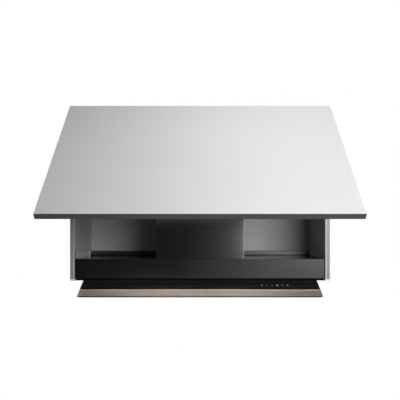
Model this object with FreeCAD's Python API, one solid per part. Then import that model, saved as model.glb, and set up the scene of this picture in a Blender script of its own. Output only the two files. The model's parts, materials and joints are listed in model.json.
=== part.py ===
import FreeCAD, Part
import math
import os

from FreeCAD import Vector

# A 900 mm wall cabinet with a lift-up front and an integrated cooker hood with a tilting
# visor.  Millimetres.  X runs to the right, Y runs back into the wall and Z runs up.
# The origin is on the wall plane, in the middle of the cabinet, level with its bottom edge.

# ---- cabinet carcass ----
CABINET_WIDTH = 900.0
CABINET_HEIGHT = 600.0
CABINET_DEPTH = 350.0
BOARD = 16.0
BACK_BOARD = 8.0
RAIL_BOARD = 18.0
GROOVE_DEPTH = 7.0
UPPER_RAIL_HEIGHT = 100.0
LOWER_RAIL_HEIGHT = 100.0
TOP_SETBACK = 3.0
WALL_HOLE_RADIUS = 3.25
WALL_HOLE_INSET = 110.0
CUTOUT_CLEARANCE = 7.5
CABLE_HOLE_RADIUS = 12.0

# ---- lift-up front ----
FLAP_SIDE_REVEAL = 2.0
FLAP_TOP_REVEAL = 3.0
FLAP_THICKNESS = 18.0
FLAP_GAP = 3.0
FLAP_OPEN_ANGLE = 50.3
FLAP_TRAVEL = 90.0
FLAP_EDGE_RADIUS = 1.0
BUMPER_RADIUS = 4.0
BUMPER_GAP = 0.3
LOW_BUMPER_HEIGHT = 22.0

# ---- flap hinges ----
HINGE_INSET = 150.0
PIN_BELOW_TOP = 6.0
PIN_INSIDE_FACE = 6.0
PIN_RADIUS = 2.5
KNUCKLE_RADIUS = 4.5
KNUCKLE_LENGTH = 20.0
EAR_THICKNESS = 2.5
EAR_GAP = 0.4
ARM_PLATE = 2.5
ARM_PLATE_WIDTH = 48.0
ARM_PLATE_EDGE = 0.5
SCREW_EDGE = 3.0
LEAF_PLATE = 2.0
LEAF_WIDTH = 40.0
LEAF_HEIGHT = 38.0
LEAF_SHELF = 3.5
LEAF_SCREW_HEIGHTS = (7.0, 23.0)
LEAF_SCREW_SPREAD = 24.0
EAR_ROOT = 8.0
POCKET_SIDE = 4.0
POCKET_CLEARANCE = 1.0
RUNNING_CLEARANCE = 0.05

# ---- gas struts ----
STRUT_PIVOT_RADIUS = 160.0
STRUT_CLOSED_ANGLE = 74.0
STRUT_STANDOFF = 12.0
STRUT_WALL_DISTANCE = 14.0
STRUT_TUBE_RADIUS = 7.5
STRUT_TUBE_WALL = 1.0
STRUT_ROD_RADIUS = 3.0
STRUT_GLAND = 12.0
STRUT_TUBE_BASE = 5.0
PISTON_LENGTH = 5.0
PISTON_CLEARANCE = 0.3
EYE_RADIUS = 7.0
EYE_WIDTH = 10.0
STUD_RADIUS = 4.0
STUD_SHOULDER_RADIUS = 6.0
EYE_SIDE_GAP = 0.3
STUD_HEAD = 2.3
BRACKET_PLATE = 2.5
STRUT_BRACKET_WIDTH = 28.0
STRUT_BRACKET_HEIGHT = 36.0
STRUT_BRACKET_SCREWS = 24.0
FLAP_BRACKET_HEIGHT = 32.0
FLAP_BRACKET_SCREWS = 20.0
FLAP_BRACKET_EAR = 8.0
FLAP_BRACKET_SIDE_GAP = 3.5
FLAP_BRACKET_BASE = 21.6
FLAP_BRACKET_SCREW_OFFSET = 15.8
STRUT_END_SPACE = 3.5
NECK_END = 14.0

# ---- screws ----
SCREW_RADIUS = 2.0
SCREW_HEAD_RADIUS = 3.8
SCREW_HEAD_DEPTH = 1.5
SCREW_LENGTH = 15.0
SCREW_SOCKET_RADIUS = 1.1
SCREW_SOCKET_DEPTH = 0.9
BOARD_SCREW_SHANK = 3.5
BOARD_SCREW_THREAD = 2.5
BOARD_SCREW_GRIP = 34.0
BOARD_SCREW_INSET = 60.0

# ---- hood body ----
SHEET = 1.5
BODY_SIDE_SPACE = 3.0
BODY_DEPTH = 275.0
BODY_BOTTOM = 9.0
BODY_TOP = 76.0
SPACER_RISE = 15.0
SIDE_BRACKET_GAP = 0.2
SIDE_BRACKET_RISE = 10.0
SIDE_BRACKET_END_GAP = 7.0
SIDE_BRACKET_FLANGE = 6.0
BODY_SCREW_HEIGHT = 45.0
BODY_SCREW_SHARES = (0.15, 0.5, 0.85)
AIR_OPENING_MARGIN = 14.0
BEND_RADIUS = 1.2

# ---- motor housing, outlet collar and non-return dampers ----
HOUSING_WIDTH = 305.0
HOUSING_OVERHANG = 5.0
HOUSING_TOP = 350.0
COLLAR_RADIUS = 74.5
COLLAR_WALL = 1.5
COLLAR_LENGTH = 60.0
COLLAR_FLANGE_LIP = 15.5
COLLAR_FLANGE = 2.0
DAMPER_HEIGHT = 20.0
DAMPER_CLEARANCE = 1.5
DAMPER_THICKNESS = 1.5
DAMPER_ROD_RADIUS = 2.0
DAMPER_SLEEVE_RADIUS = 4.0
DAMPER_SLEEVE_GAP = 0.5
DAMPER_SLEEVES = 5
DAMPER_SLEEVE_MARGIN = 2.0
GLAND_SIDE_MARGIN = 34.5
GLAND_BACK_MARGIN = 34.0
GLAND_RADIUS = 8.0
GLAND_BORE_RADIUS = 4.0
GLAND_FLANGE_RADIUS = 12.0
GLAND_FLANGE = 3.0
GLAND_HEIGHT = 14.0
GLAND_INSIDE = 8.0

# ---- blower ----
BLOWER_HEIGHT = 205.0
WHEEL_RADIUS = 70.0
WHEEL_BORE_RADIUS = 55.0
WHEEL_WIDTH = 104.0
WHEEL_DISC = 2.0
BLADE_COUNT = 24
BLADE_THICKNESS = 1.5
HUB_RADIUS = 12.0
HUB_LENGTH = 16.0
SHAFT_RADIUS = 5.0
SCROLL_WALL = 2.0
SCROLL_SIDE_GAP = 11.0
SCROLL_START_GAP = 12.0
SCROLL_GROWTH = 36.0
SCROLL_POINTS = 28
SCROLL_START_ANGLE = 30.0
SCROLL_TURN = 225.0
OUTLET_NECK = 48.0
OUTLET_STEP = 12.0
OUTLET_LIP = 18.0
SHAFT_HOLE_GAP = 3.0
INLET_MARGIN = 3.0
MOTOR_RADIUS = 45.0
MOTOR_LENGTH = 56.0
MOTOR_FLANGE = 3.0
MOTOR_FLANGE_LIP = 8.0
MOTOR_END_WALL = 6.0
MOTOR_GROOVES = 5
MOTOR_GROOVE = 3.0
MOTOR_GROOVE_DEPTH = 2.5
MOTOR_GROOVE_PITCH = 7.0
MOTOR_GROOVE_START = 8.0
SHAFT_END_GAP = 2.0
BLADE_TURN = 28.0
BLADE_END_GAP = 0.5

# ---- underside: lamps, filters and control box ----
LAMP_STRIP = 105.0
FILTER_BACK_MARGIN = 17.4
FILTER_THICKNESS = 8.0
FILTER_BORDER = 10.0
FILTER_GAP = 0.6
FILTER_REAR_GAP = 1.5
FILTER_INNER_X = 6.0
FILTER_FRONT_SPACE = 16.0
FILTER_HINGE_INSET = 4.5
FILTER_PIN_RADIUS = 1.5
FILTER_PIN_LENGTH = 3.2
FILTER_LUG = 3.0
FILTER_SLOTS = 14
FILTER_SLOT_MARGIN = 5.0
LUG_HALF = 4.0
FILTER_SLOT_SHARE = 0.62
MESH_THICKNESS = 4.0
PULL_WIDTH = 44.0
PULL_DEPTH = 7.0
PULL_HEIGHT = 5.0
PULL_FRONT = 1.5
PULL_CORNER = 2.0
LAMP_INSET = 53.0
LAMP_RADIUS = 27.0
LAMP_FLANGE_LIP = 3.0
LAMP_LENS_SEAT = 5.0
LAMP_FLANGE = 1.5
LAMP_BARREL = 16.0
LENS_RECESS = 0.5
LENS_THICKNESS = 2.5
CONTROL_WIDTH = 120.0
CONTROL_DEPTH = 90.0
CONTROL_HEIGHT = 36.0
CONTROL_FRONT_GAP = 12.0
CONTROL_CORNER = 3.0
CONTROL_INSET = 91.0

# ---- tilting visor, drawn closed and then turned to its open angle ----
VISOR_SIDE_SPACE = 8.0
VISOR_OPEN_ANGLE = 20.3
VISOR_REACH = 142.4
VISOR_PIVOT_FROM_FRONT = 125.6
VISOR_PIVOT_HEIGHT = 3.0
VISOR_DROP = 6.5
VISOR_TAIL = 8.4
VISOR_EAR_RADIUS = 4.7
VISOR_EAR_INSET = 15.0
VISOR_EAR_THICKNESS = 3.0
VISOR_EAR_GAP = 0.5
VISOR_PIN_RADIUS = 2.0
VISOR_BRACKET_HALF = 6.0
VISOR_BRACKET_FOOT = 12.0
LIP_DEPTH = 53.8
LIP_THICKNESS = 5.0
LIP_CORNER = 7.7
GLASS_THICKNESS = 4.0
GLASS_EDGE = 1.8
GLASS_JOINT = 0.3
GLASS_REAR_SPACE = 7.6
GLASS_SOFTENING = 0.5
LIP_SIDE_EDGE = 0.8
TRAY_WELL_LEDGE = 8.0
TRAY_DEPTH = 9.5
TRAY_SHEET = 1.2
TRAY_LEDGE = 14.0
TONGUE_THICKNESS = 1.5
TONGUE_INSET = 11.0
TOUCH_BOARD_INSET = 158.0
TOUCH_BOARD_WIDTH = 130.0
TOUCH_BOARD_DEPTH = 36.0
TOUCH_BOARD_THICKNESS = 1.6
TOUCH_BOARD_FRONT = 12.0

# ---- places worked out from the sizes ----
X_AXIS = Vector(1, 0, 0)
Y_AXIS = Vector(0, 1, 0)
Z_AXIS = Vector(0, 0, 1)
SIDES = {"left": -1, "right": 1}

FRONT = -CABINET_DEPTH
INNER_X = CABINET_WIDTH / 2 - BOARD
TOP_UNDERSIDE = CABINET_HEIGHT - BOARD
BACK_FRONT = -RAIL_BOARD - BACK_BOARD
TOP_FRONT = FRONT + TOP_SETBACK
WALL_HOLE_HEIGHT = TOP_UNDERSIDE - UPPER_RAIL_HEIGHT / 2
WALL_HOLE_X = CABINET_WIDTH / 2 - WALL_HOLE_INSET

FLAP_WIDTH = CABINET_WIDTH - 2 * FLAP_SIDE_REVEAL
FLAP_HEIGHT = CABINET_HEIGHT - FLAP_TOP_REVEAL
FLAP_INNER = FRONT - FLAP_GAP
FLAP_OUTER = FLAP_INNER - FLAP_THICKNESS
PIN_Y = FLAP_INNER - PIN_INSIDE_FACE
PIN_Z = FLAP_HEIGHT - PIN_BELOW_TOP
HINGE_PIN = Vector(0, PIN_Y, PIN_Z)
HINGE_X = CABINET_WIDTH / 2 - HINGE_INSET
EAR_X = KNUCKLE_LENGTH / 2 + EAR_GAP

BODY_HALF = INNER_X - BODY_SIDE_SPACE
BODY_BACK = FRONT + BODY_DEPTH
SPACER_TOP = BODY_TOP + SPACER_RISE
SIDE_BRACKET_FRONT_TOP = SPACER_TOP + SIDE_BRACKET_RISE
HOUSING_BACK = BODY_BACK + HOUSING_OVERHANG
DUCT_Y = (FRONT + HOUSING_BACK) / 2
CUTOUT_RADIUS = COLLAR_RADIUS + CUTOUT_CLEARANCE

VISOR_HALF = INNER_X - VISOR_SIDE_SPACE
VISOR_EAR_X = VISOR_HALF - VISOR_EAR_INSET
TOUCH_BOARD_X = VISOR_HALF - TOUCH_BOARD_INSET
VISOR_PIVOT = Vector(0, FRONT + VISOR_PIVOT_FROM_FRONT, VISOR_PIVOT_HEIGHT)
VISOR_TOP = VISOR_PIVOT_HEIGHT - VISOR_DROP
VISOR_FRONT = VISOR_PIVOT.y - VISOR_REACH
VISOR_BACK = VISOR_PIVOT.y + VISOR_TAIL
LIP_BACK = VISOR_FRONT + LIP_DEPTH

FILTER_FRONT = VISOR_PIVOT.y + FILTER_FRONT_SPACE
FILTER_BACK = BODY_BACK - FILTER_BACK_MARGIN
FILTER_PIVOT_Y = FILTER_BACK - FILTER_HINGE_INSET
FILTER_PIVOT_Z = BODY_BOTTOM + FILTER_THICKNESS / 2
FILTER_OUTER_X = BODY_HALF - LAMP_STRIP
LAMP_X = BODY_HALF - LAMP_INSET
LAMP_Y = (FILTER_FRONT + FILTER_BACK) / 2
CONTROL_X = CONTROL_INSET - BODY_HALF

GLAND_X = HOUSING_WIDTH / 2 - GLAND_SIDE_MARGIN
GLAND_Y = HOUSING_BACK - GLAND_BACK_MARGIN
COLLAR_FLANGE_RADIUS = COLLAR_RADIUS + COLLAR_FLANGE_LIP
INLET_RADIUS = WHEEL_BORE_RADIUS + INLET_MARGIN
DAMPER_Z = HOUSING_TOP + DAMPER_HEIGHT
OUTLET_HALF = COLLAR_RADIUS - COLLAR_WALL - OUTLET_STEP
LEAF_TOP = PIN_Z - KNUCKLE_RADIUS - LEAF_SHELF


def block(x0, x1, y0, y1, z0, z1):
    corner = Vector(min(x0, x1), min(y0, y1), min(z0, z1))
    return Part.makeBox(abs(x1 - x0), abs(y1 - y0), abs(z1 - z0), corner)


def rod(radius, start, direction, length):
    return Part.makeCylinder(radius, length, start, direction)


def tube(outer, inner, start, direction, length):
    return rod(outer, start, direction, length).cut(rod(inner, start, direction, length))


def cross_rod(radius, x0, x1, y, z):
    """A round bar along X."""
    return rod(radius, Vector(min(x0, x1), y, z), X_AXIS, abs(x1 - x0))


def prism_x(points, x0, x1):
    """A flat outline in Y and Z, drawn out along X."""
    corners = [Vector(min(x0, x1), y, z) for y, z in points]
    face = Part.Face(Part.makePolygon(corners + corners[:1]))
    return face.extrude(Vector(abs(x1 - x0), 0, 0))


def prism_y(points, y0, y1):
    """A flat outline in X and Z, drawn out along Y."""
    corners = [Vector(x, min(y0, y1), z) for x, z in points]
    face = Part.Face(Part.makePolygon(corners + corners[:1]))
    return face.extrude(Vector(0, abs(y1 - y0), 0))


def joined(shapes):
    whole = shapes[0].multiFuse(shapes[1:]) if len(shapes) > 1 else shapes[0]
    return whole.removeSplitter()


def cut_by(shape, tools):
    return shape.cut(Part.makeCompound(tools)) if tools else shape


def turned(shape, centre, angle):
    """The shape turned about an X-wise axis through centre."""
    copy = shape.copy()
    copy.rotate(centre, X_AXIS, angle)
    return copy


def flap_open(shape):
    return turned(shape, HINGE_PIN, -FLAP_OPEN_ANGLE)


def visor_open(shape):
    return turned(shape, VISOR_PIVOT, VISOR_OPEN_ANGLE)


def softened(shape, radius, chosen):
    """Rounds the straight edges that chosen picks by their middle point and direction."""
    edges = []
    for edge in shape.Edges:
        if len(edge.Vertexes) != 2:
            continue
        start, end = (vertex.Point for vertex in edge.Vertexes)
        if chosen((start + end) * 0.5, (end - start).normalize()):
            edges.append(edge)
    return shape.makeFillet(radius, edges) if edges else shape


def screw(start, direction, length=SCREW_LENGTH):
    """A countersunk-flush screw whose head ends on start and which runs along direction."""
    head = rod(SCREW_HEAD_RADIUS, start, direction, SCREW_HEAD_DEPTH)
    shank = rod(SCREW_RADIUS, start, direction, length)
    socket = rod(SCREW_SOCKET_RADIUS, start, direction, SCREW_SOCKET_DEPTH)
    return head.fuse(shank).cut(socket)


def screw_hole(start, direction, length=SCREW_LENGTH):
    head = rod(SCREW_HEAD_RADIUS, start, direction, SCREW_HEAD_DEPTH)
    return head.fuse(rod(SCREW_RADIUS, start, direction, length))


def save(name, shape):
    solids = shape.Solids
    result = solids[0] if len(solids) == 1 else Part.makeCompound(solids)
    result.exportStep(os.path.join("parts", name + ".step"))


# ---- where the screws go ----
def hinge_arm_screws(side):
    """Place and direction of the two screws of a hinge arm, into the top panel's front edge."""
    front = TOP_FRONT - ARM_PLATE
    middle = TOP_UNDERSIDE + BOARD / 2
    reach = ARM_PLATE_WIDTH / 2 - SCREW_HEAD_RADIUS - SCREW_EDGE
    return [(Vector(side * HINGE_X + dx, front, middle), Y_AXIS) for dx in (-reach, reach)]


def hinge_leaf_screws(side):
    """The four screws of a hinge leaf, into the flap's inner face."""
    back = FLAP_INNER + LEAF_PLATE
    low = LEAF_TOP - LEAF_HEIGHT
    reach = LEAF_SCREW_SPREAD / 2
    places = [(dx, low + dz) for dx in (-reach, reach) for dz in LEAF_SCREW_HEIGHTS]
    return [(Vector(side * HINGE_X + dx, back, z), -Y_AXIS) for dx, z in places]


def strut_bracket_screws(side):
    """The two screws of a strut's carcass bracket, into the side panel."""
    x = side * (INNER_X - BRACKET_PLATE)
    outward = Vector(side, 0, 0)
    heights = (STRUT_TOP.z - STRUT_BRACKET_SCREWS / 2, STRUT_TOP.z + STRUT_BRACKET_SCREWS / 2)
    return [(Vector(x, STRUT_TOP.y, z), outward) for z in heights]


def flap_bracket_screws(side):
    """The two screws of a strut's flap bracket, into the flap's inner face."""
    x = side * (STRUT_X - FLAP_BRACKET_SCREW_OFFSET)
    y = FLAP_INNER + BRACKET_PLATE
    heights = (STRUT_FOOT.z - FLAP_BRACKET_SCREWS / 2, STRUT_FOOT.z + FLAP_BRACKET_SCREWS / 2)
    return [(Vector(x, y, z), -Y_AXIS) for z in heights]


def board_screws(side):
    """Heights and depths of the screws that hold the side panel to the boards."""
    top = TOP_UNDERSIDE + BOARD / 2
    rail = -RAIL_BOARD / 2
    upper = TOP_UNDERSIDE - UPPER_RAIL_HEIGHT / 2
    places = [
        (FRONT + BOARD_SCREW_INSET, top),
        (-BOARD_SCREW_INSET, top),
        (rail, upper),
        (rail, LOWER_RAIL_HEIGHT / 2),
    ]
    return [Vector(side * CABINET_WIDTH / 2, y, z) for y, z in places]


def board_screw(start, side):
    inward = Vector(-side, 0, 0)
    shank = rod(BOARD_SCREW_SHANK, start, inward, BOARD)
    return shank.fuse(rod(BOARD_SCREW_THREAD, start, inward, BOARD + BOARD_SCREW_GRIP))


def body_screws(side):
    """The three screws through the hood body's side into the cabinet side."""
    x = side * (BODY_HALF - SHEET - SCREW_HEAD_DEPTH)
    outward = Vector(side, 0, 0)
    depths = [FRONT + BODY_DEPTH * share for share in BODY_SCREW_SHARES]
    return [(Vector(x, y, BODY_SCREW_HEIGHT), outward) for y in depths]


def wall_holes(y0, y1):
    starts = [Vector(side * WALL_HOLE_X, y0, WALL_HOLE_HEIGHT) for side in SIDES.values()]
    return [rod(WALL_HOLE_RADIUS, start, Y_AXIS, y1 - y0) for start in starts]


# ---- gas strut pivots: both lie at the same distance from the hinge pin ----
FOOT_BACK = PIN_INSIDE_FACE + STRUT_STANDOFF
FOOT_ANGLE = -math.acos(FOOT_BACK / STRUT_PIVOT_RADIUS)
TOP_ANGLE = FOOT_ANGLE + math.radians(STRUT_CLOSED_ANGLE)
STRUT_X = INNER_X - STRUT_WALL_DISTANCE


def from_pin(angle):
    offset = Vector(0, math.cos(angle), math.sin(angle)) * STRUT_PIVOT_RADIUS
    return HINGE_PIN + offset


STRUT_TOP = from_pin(TOP_ANGLE)
STRUT_FOOT = from_pin(FOOT_ANGLE)
STRUT_FOOT_OPEN = from_pin(FOOT_ANGLE - math.radians(FLAP_OPEN_ANGLE))
STRUT_LINE = (STRUT_FOOT_OPEN - STRUT_TOP).normalize()


def strut_length(flap_angle):
    half = math.radians(STRUT_CLOSED_ANGLE + flap_angle) / 2
    return 2 * STRUT_PIVOT_RADIUS * math.sin(half)


BORE_START = NECK_END - 2.0 + STRUT_TUBE_BASE
ROD_REACH = strut_length(0) - BORE_START - STRUT_END_SPACE
BORE_END = strut_length(FLAP_TRAVEL) - ROD_REACH + PISTON_LENGTH + STRUT_END_SPACE
TUBE_END = BORE_END + STRUT_GLAND
EYE_IN = STRUT_X - EYE_WIDTH / 2
EYE_OUT = STRUT_X + EYE_WIDTH / 2
STUD_END = EYE_IN - EYE_SIDE_GAP - STUD_HEAD


# ---- cabinet ----
def side_panel(side):
    inner = side * INNER_X
    outer = side * CABINET_WIDTH / 2
    panel = block(inner, outer, FRONT, 0, 0, CABINET_HEIGHT)
    groove_x = side * (INNER_X + GROOVE_DEPTH)
    cuts = [block(inner, groove_x, BACK_FRONT, -RAIL_BOARD, -1.0, TOP_UNDERSIDE)]
    cuts += [board_screw(start, side) for start in board_screws(side)]
    cuts += [screw_hole(start, way) for start, way in strut_bracket_screws(side)]
    cuts += [screw_hole(start, way) for start, way in body_screws(side)]
    return cut_by(panel, cuts)


def top_panel():
    panel = block(-INNER_X, INNER_X, TOP_FRONT, 0, TOP_UNDERSIDE, CABINET_HEIGHT)
    cuts = [
        rod(CUTOUT_RADIUS, Vector(0, DUCT_Y, TOP_UNDERSIDE), Z_AXIS, BOARD),
        rod(CABLE_HOLE_RADIUS, Vector(GLAND_X, GLAND_Y, TOP_UNDERSIDE), Z_AXIS, BOARD),
    ]
    for side in SIDES.values():
        cuts += [board_screw(start, side) for start in board_screws(side)]
        cuts += [screw_hole(start, way) for start, way in hinge_arm_screws(side)]
    return cut_by(panel, cuts)


def back_panel():
    reach = INNER_X + GROOVE_DEPTH
    panel = block(-reach, reach, BACK_FRONT, -RAIL_BOARD, 0, TOP_UNDERSIDE)
    return cut_by(panel, wall_holes(BACK_FRONT, -RAIL_BOARD))


def rear_rail(z0, z1):
    rail = block(-INNER_X, INNER_X, -RAIL_BOARD, 0, z0, z1)
    cuts = wall_holes(-RAIL_BOARD, 0)
    for side in SIDES.values():
        cuts += [board_screw(start, side) for start in board_screws(side)]
    return cut_by(rail, cuts)


def cabinet_screws():
    return Part.makeCompound(
        [board_screw(start, side) for side in SIDES.values() for start in board_screws(side)]
    )


def flap_bumpers():
    thickness = FLAP_GAP - BUMPER_GAP
    pads = []
    for side in SIDES.values():
        x = side * (CABINET_WIDTH / 2 - BOARD / 2)
        for z in (LOW_BUMPER_HEIGHT, CABINET_HEIGHT / 2):
            pads.append(rod(BUMPER_RADIUS, Vector(x, FRONT, z), -Y_AXIS, thickness))
    return Part.makeCompound(pads)


# ---- hinges ----
def hinge_arm(side):
    """Carcass half: a plate on the top panel's front edge and a knuckle round the pin."""
    x = side * HINGE_X
    half = KNUCKLE_LENGTH / 2
    back = TOP_FRONT - ARM_PLATE
    plate = block(
        x - ARM_PLATE_WIDTH / 2, x + ARM_PLATE_WIDTH / 2,
        back, TOP_FRONT,
        TOP_UNDERSIDE + ARM_PLATE_EDGE, CABINET_HEIGHT - ARM_PLATE_EDGE,
    )
    web = block(x - half, x + half, PIN_Y, back, PIN_Z - ARM_PLATE, PIN_Z + ARM_PLATE)
    knuckle = cross_rod(KNUCKLE_RADIUS, x - half, x + half, PIN_Y, PIN_Z)
    hole = cross_rod(PIN_RADIUS + RUNNING_CLEARANCE, x - half, x + half, PIN_Y, PIN_Z)
    holes = [screw_hole(start, way) for start, way in hinge_arm_screws(side)]
    return cut_by(joined([plate, web, knuckle]), [hole] + holes)


def hinge_leaf(side):
    """Flap half: a plate on the inner face with two ears that reach into the pocket."""
    x = side * HINGE_X
    shelf = LEAF_TOP
    back = FLAP_INNER + LEAF_PLATE
    half = LEAF_WIDTH / 2
    pieces = [block(x - half, x + half, FLAP_INNER, back, shelf - LEAF_HEIGHT, shelf)]
    holes = []
    for way in (-1, 1):
        near = x + way * EAR_X
        far = near + way * EAR_THICKNESS
        pieces.append(block(near, far, PIN_Y - KNUCKLE_RADIUS, back, shelf, PIN_Z))
        pieces.append(block(near, far, FLAP_INNER, back, shelf - EAR_ROOT, shelf))
        pieces.append(cross_rod(KNUCKLE_RADIUS, near, far, PIN_Y, PIN_Z))
        holes.append(cross_rod(PIN_RADIUS, near, far, PIN_Y, PIN_Z))
    holes += [screw_hole(start, way) for start, way in hinge_leaf_screws(side)]
    return flap_open(cut_by(joined(pieces), holes))


def hinge_pin(side):
    reach = EAR_X + EAR_THICKNESS
    x = side * HINGE_X
    return flap_open(cross_rod(PIN_RADIUS, x - reach, x + reach, PIN_Y, PIN_Z))


def hinge_pocket(side):
    x = side * HINGE_X
    half = EAR_X + EAR_THICKNESS + POCKET_SIDE
    depth = PIN_Y - KNUCKLE_RADIUS - POCKET_CLEARANCE
    low = LEAF_TOP - POCKET_CLEARANCE
    return block(x - half, x + half, depth, FLAP_INNER, low, FLAP_HEIGHT)


# ---- flap ----
def flap_panel():
    half = FLAP_WIDTH / 2
    panel = block(-half, half, FLAP_OUTER, FLAP_INNER, 0, FLAP_HEIGHT)
    panel = softened(panel, FLAP_EDGE_RADIUS, lambda middle, way: abs(middle.y - FLAP_OUTER) < 0.01)
    cuts = []
    for side in SIDES.values():
        cuts.append(hinge_pocket(side))
        cuts += [screw_hole(start, way) for start, way in hinge_leaf_screws(side)]
        cuts += [screw_hole(start, way) for start, way in flap_bracket_screws(side)]
    return flap_open(cut_by(panel, cuts))


def flap_screws():
    pieces = []
    for side in SIDES.values():
        for start, way in hinge_leaf_screws(side) + flap_bracket_screws(side):
            pieces.append(screw(start, way))
    return flap_open(Part.makeCompound(pieces))


def hardware_screws():
    pieces = []
    for side in SIDES.values():
        for start, way in hinge_arm_screws(side) + strut_bracket_screws(side):
            pieces.append(screw(start, way))
    return Part.makeCompound(pieces)


# ---- gas struts ----
def stud(side, x_root, centre):
    """A shouldered stud with a retaining head, pointing in from x_root."""
    shoulder = cross_rod(
        STUD_SHOULDER_RADIUS, side * (EYE_OUT + EYE_SIDE_GAP), side * x_root, centre.y, centre.z
    )
    neck = cross_rod(STUD_RADIUS, side * STUD_END, side * x_root, centre.y, centre.z)
    head = cross_rod(
        STUD_SHOULDER_RADIUS, side * STUD_END, side * (STUD_END + STUD_HEAD), centre.y, centre.z
    )
    return [shoulder, neck, head]


def strut_bracket(side):
    x_face = INNER_X - BRACKET_PLATE
    plate = block(
        side * x_face, side * INNER_X,
        STRUT_TOP.y - STRUT_BRACKET_WIDTH / 2, STRUT_TOP.y + STRUT_BRACKET_WIDTH / 2,
        STRUT_TOP.z - STRUT_BRACKET_HEIGHT / 2, STRUT_TOP.z + STRUT_BRACKET_HEIGHT / 2,
    )
    holes = [screw_hole(start, way) for start, way in strut_bracket_screws(side)]
    return cut_by(joined([plate] + stud(side, x_face, STRUT_TOP)), holes)


def flap_bracket(side):
    """An angle bracket on the flap's inner face that carries the strut's lower stud."""
    x_flange = INNER_X - FLAP_BRACKET_SIDE_GAP
    x_root = x_flange - BRACKET_PLATE
    x_base = STRUT_X - FLAP_BRACKET_BASE
    base = block(
        side * x_base, side * x_flange,
        FLAP_INNER, FLAP_INNER + BRACKET_PLATE,
        STRUT_FOOT.z - FLAP_BRACKET_HEIGHT / 2, STRUT_FOOT.z + FLAP_BRACKET_HEIGHT / 2,
    )
    flange = block(
        side * x_root, side * x_flange,
        FLAP_INNER, STRUT_FOOT.y,
        STRUT_FOOT.z - FLAP_BRACKET_EAR, STRUT_FOOT.z + FLAP_BRACKET_EAR,
    )
    cap = cross_rod(
        FLAP_BRACKET_EAR, side * x_root, side * x_flange, STRUT_FOOT.y, STRUT_FOOT.z
    )
    holes = [screw_hole(start, way) for start, way in flap_bracket_screws(side)]
    shape = joined([base, flange, cap] + stud(side, x_root, STRUT_FOOT))
    return flap_open(cut_by(shape, holes))


def strut_eye(side, centre, way):
    """The eye and neck at one end of a strut, with its hole round the stud."""
    eye = cross_rod(EYE_RADIUS, side * EYE_IN, side * EYE_OUT, centre.y, centre.z)
    neck_start = Vector(side * STRUT_X, centre.y, centre.z)
    neck = rod(STUD_RADIUS, neck_start, way, NECK_END)
    hole = cross_rod(
        STUD_RADIUS + RUNNING_CLEARANCE, side * EYE_IN, side * EYE_OUT, centre.y, centre.z
    )
    return eye.fuse(neck), hole


def strut_cylinder(side):
    eye, hole = strut_eye(side, STRUT_TOP, STRUT_LINE)
    axis_start = Vector(side * STRUT_X, STRUT_TOP.y, STRUT_TOP.z)
    base = BORE_START - STRUT_TUBE_BASE

    def bar(radius, near, far):
        return rod(radius, axis_start + STRUT_LINE * near, STRUT_LINE, far - near)

    body = bar(STRUT_TUBE_RADIUS, base, TUBE_END)
    bore = bar(STRUT_TUBE_RADIUS - STRUT_TUBE_WALL, BORE_START, BORE_END)
    gland = bar(STRUT_ROD_RADIUS + PISTON_CLEARANCE, BORE_END - 1.0, TUBE_END + 1.0)
    return cut_by(joined([eye, body]), [hole, bore, gland])


def strut_rod(side):
    back = STRUT_LINE * -1
    eye, hole = strut_eye(side, STRUT_FOOT_OPEN, back)
    foot = Vector(side * STRUT_X, STRUT_FOOT_OPEN.y, STRUT_FOOT_OPEN.z)
    shaft = rod(STRUT_ROD_RADIUS, foot, back, ROD_REACH)
    piston_radius = STRUT_TUBE_RADIUS - STRUT_TUBE_WALL - PISTON_CLEARANCE
    piston = rod(piston_radius, foot + back * (ROD_REACH - PISTON_LENGTH), back, PISTON_LENGTH)
    return joined([eye, shaft, piston]).cut(hole)


# ---- hood body ----
def hood_body_shell():
    half = BODY_HALF
    outer = block(-half, half, FRONT, BODY_BACK, BODY_BOTTOM, BODY_TOP)
    outer = softened(
        outer, BEND_RADIUS,
        lambda middle, way: abs(middle.y - FRONT) < 0.01 and abs(middle.z - BODY_BOTTOM) > 0.01,
    )
    cavity = block(
        -half + SHEET, half - SHEET,
        FRONT + SHEET, BODY_BACK - SHEET,
        BODY_BOTTOM, BODY_TOP - SHEET,
    )
    air_x = HOUSING_WIDTH / 2 - AIR_OPENING_MARGIN
    air_way = block(
        -air_x, air_x,
        FRONT + AIR_OPENING_MARGIN, BODY_BACK - AIR_OPENING_MARGIN,
        BODY_TOP - SHEET, BODY_TOP,
    )
    cuts = [cavity, air_way]
    for side in SIDES.values():
        cuts += [screw_hole(start, way) for start, way in body_screws(side)]
    return cut_by(outer, cuts)


def filter_span(side):
    return side * FILTER_INNER_X, side * FILTER_OUTER_X


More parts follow.
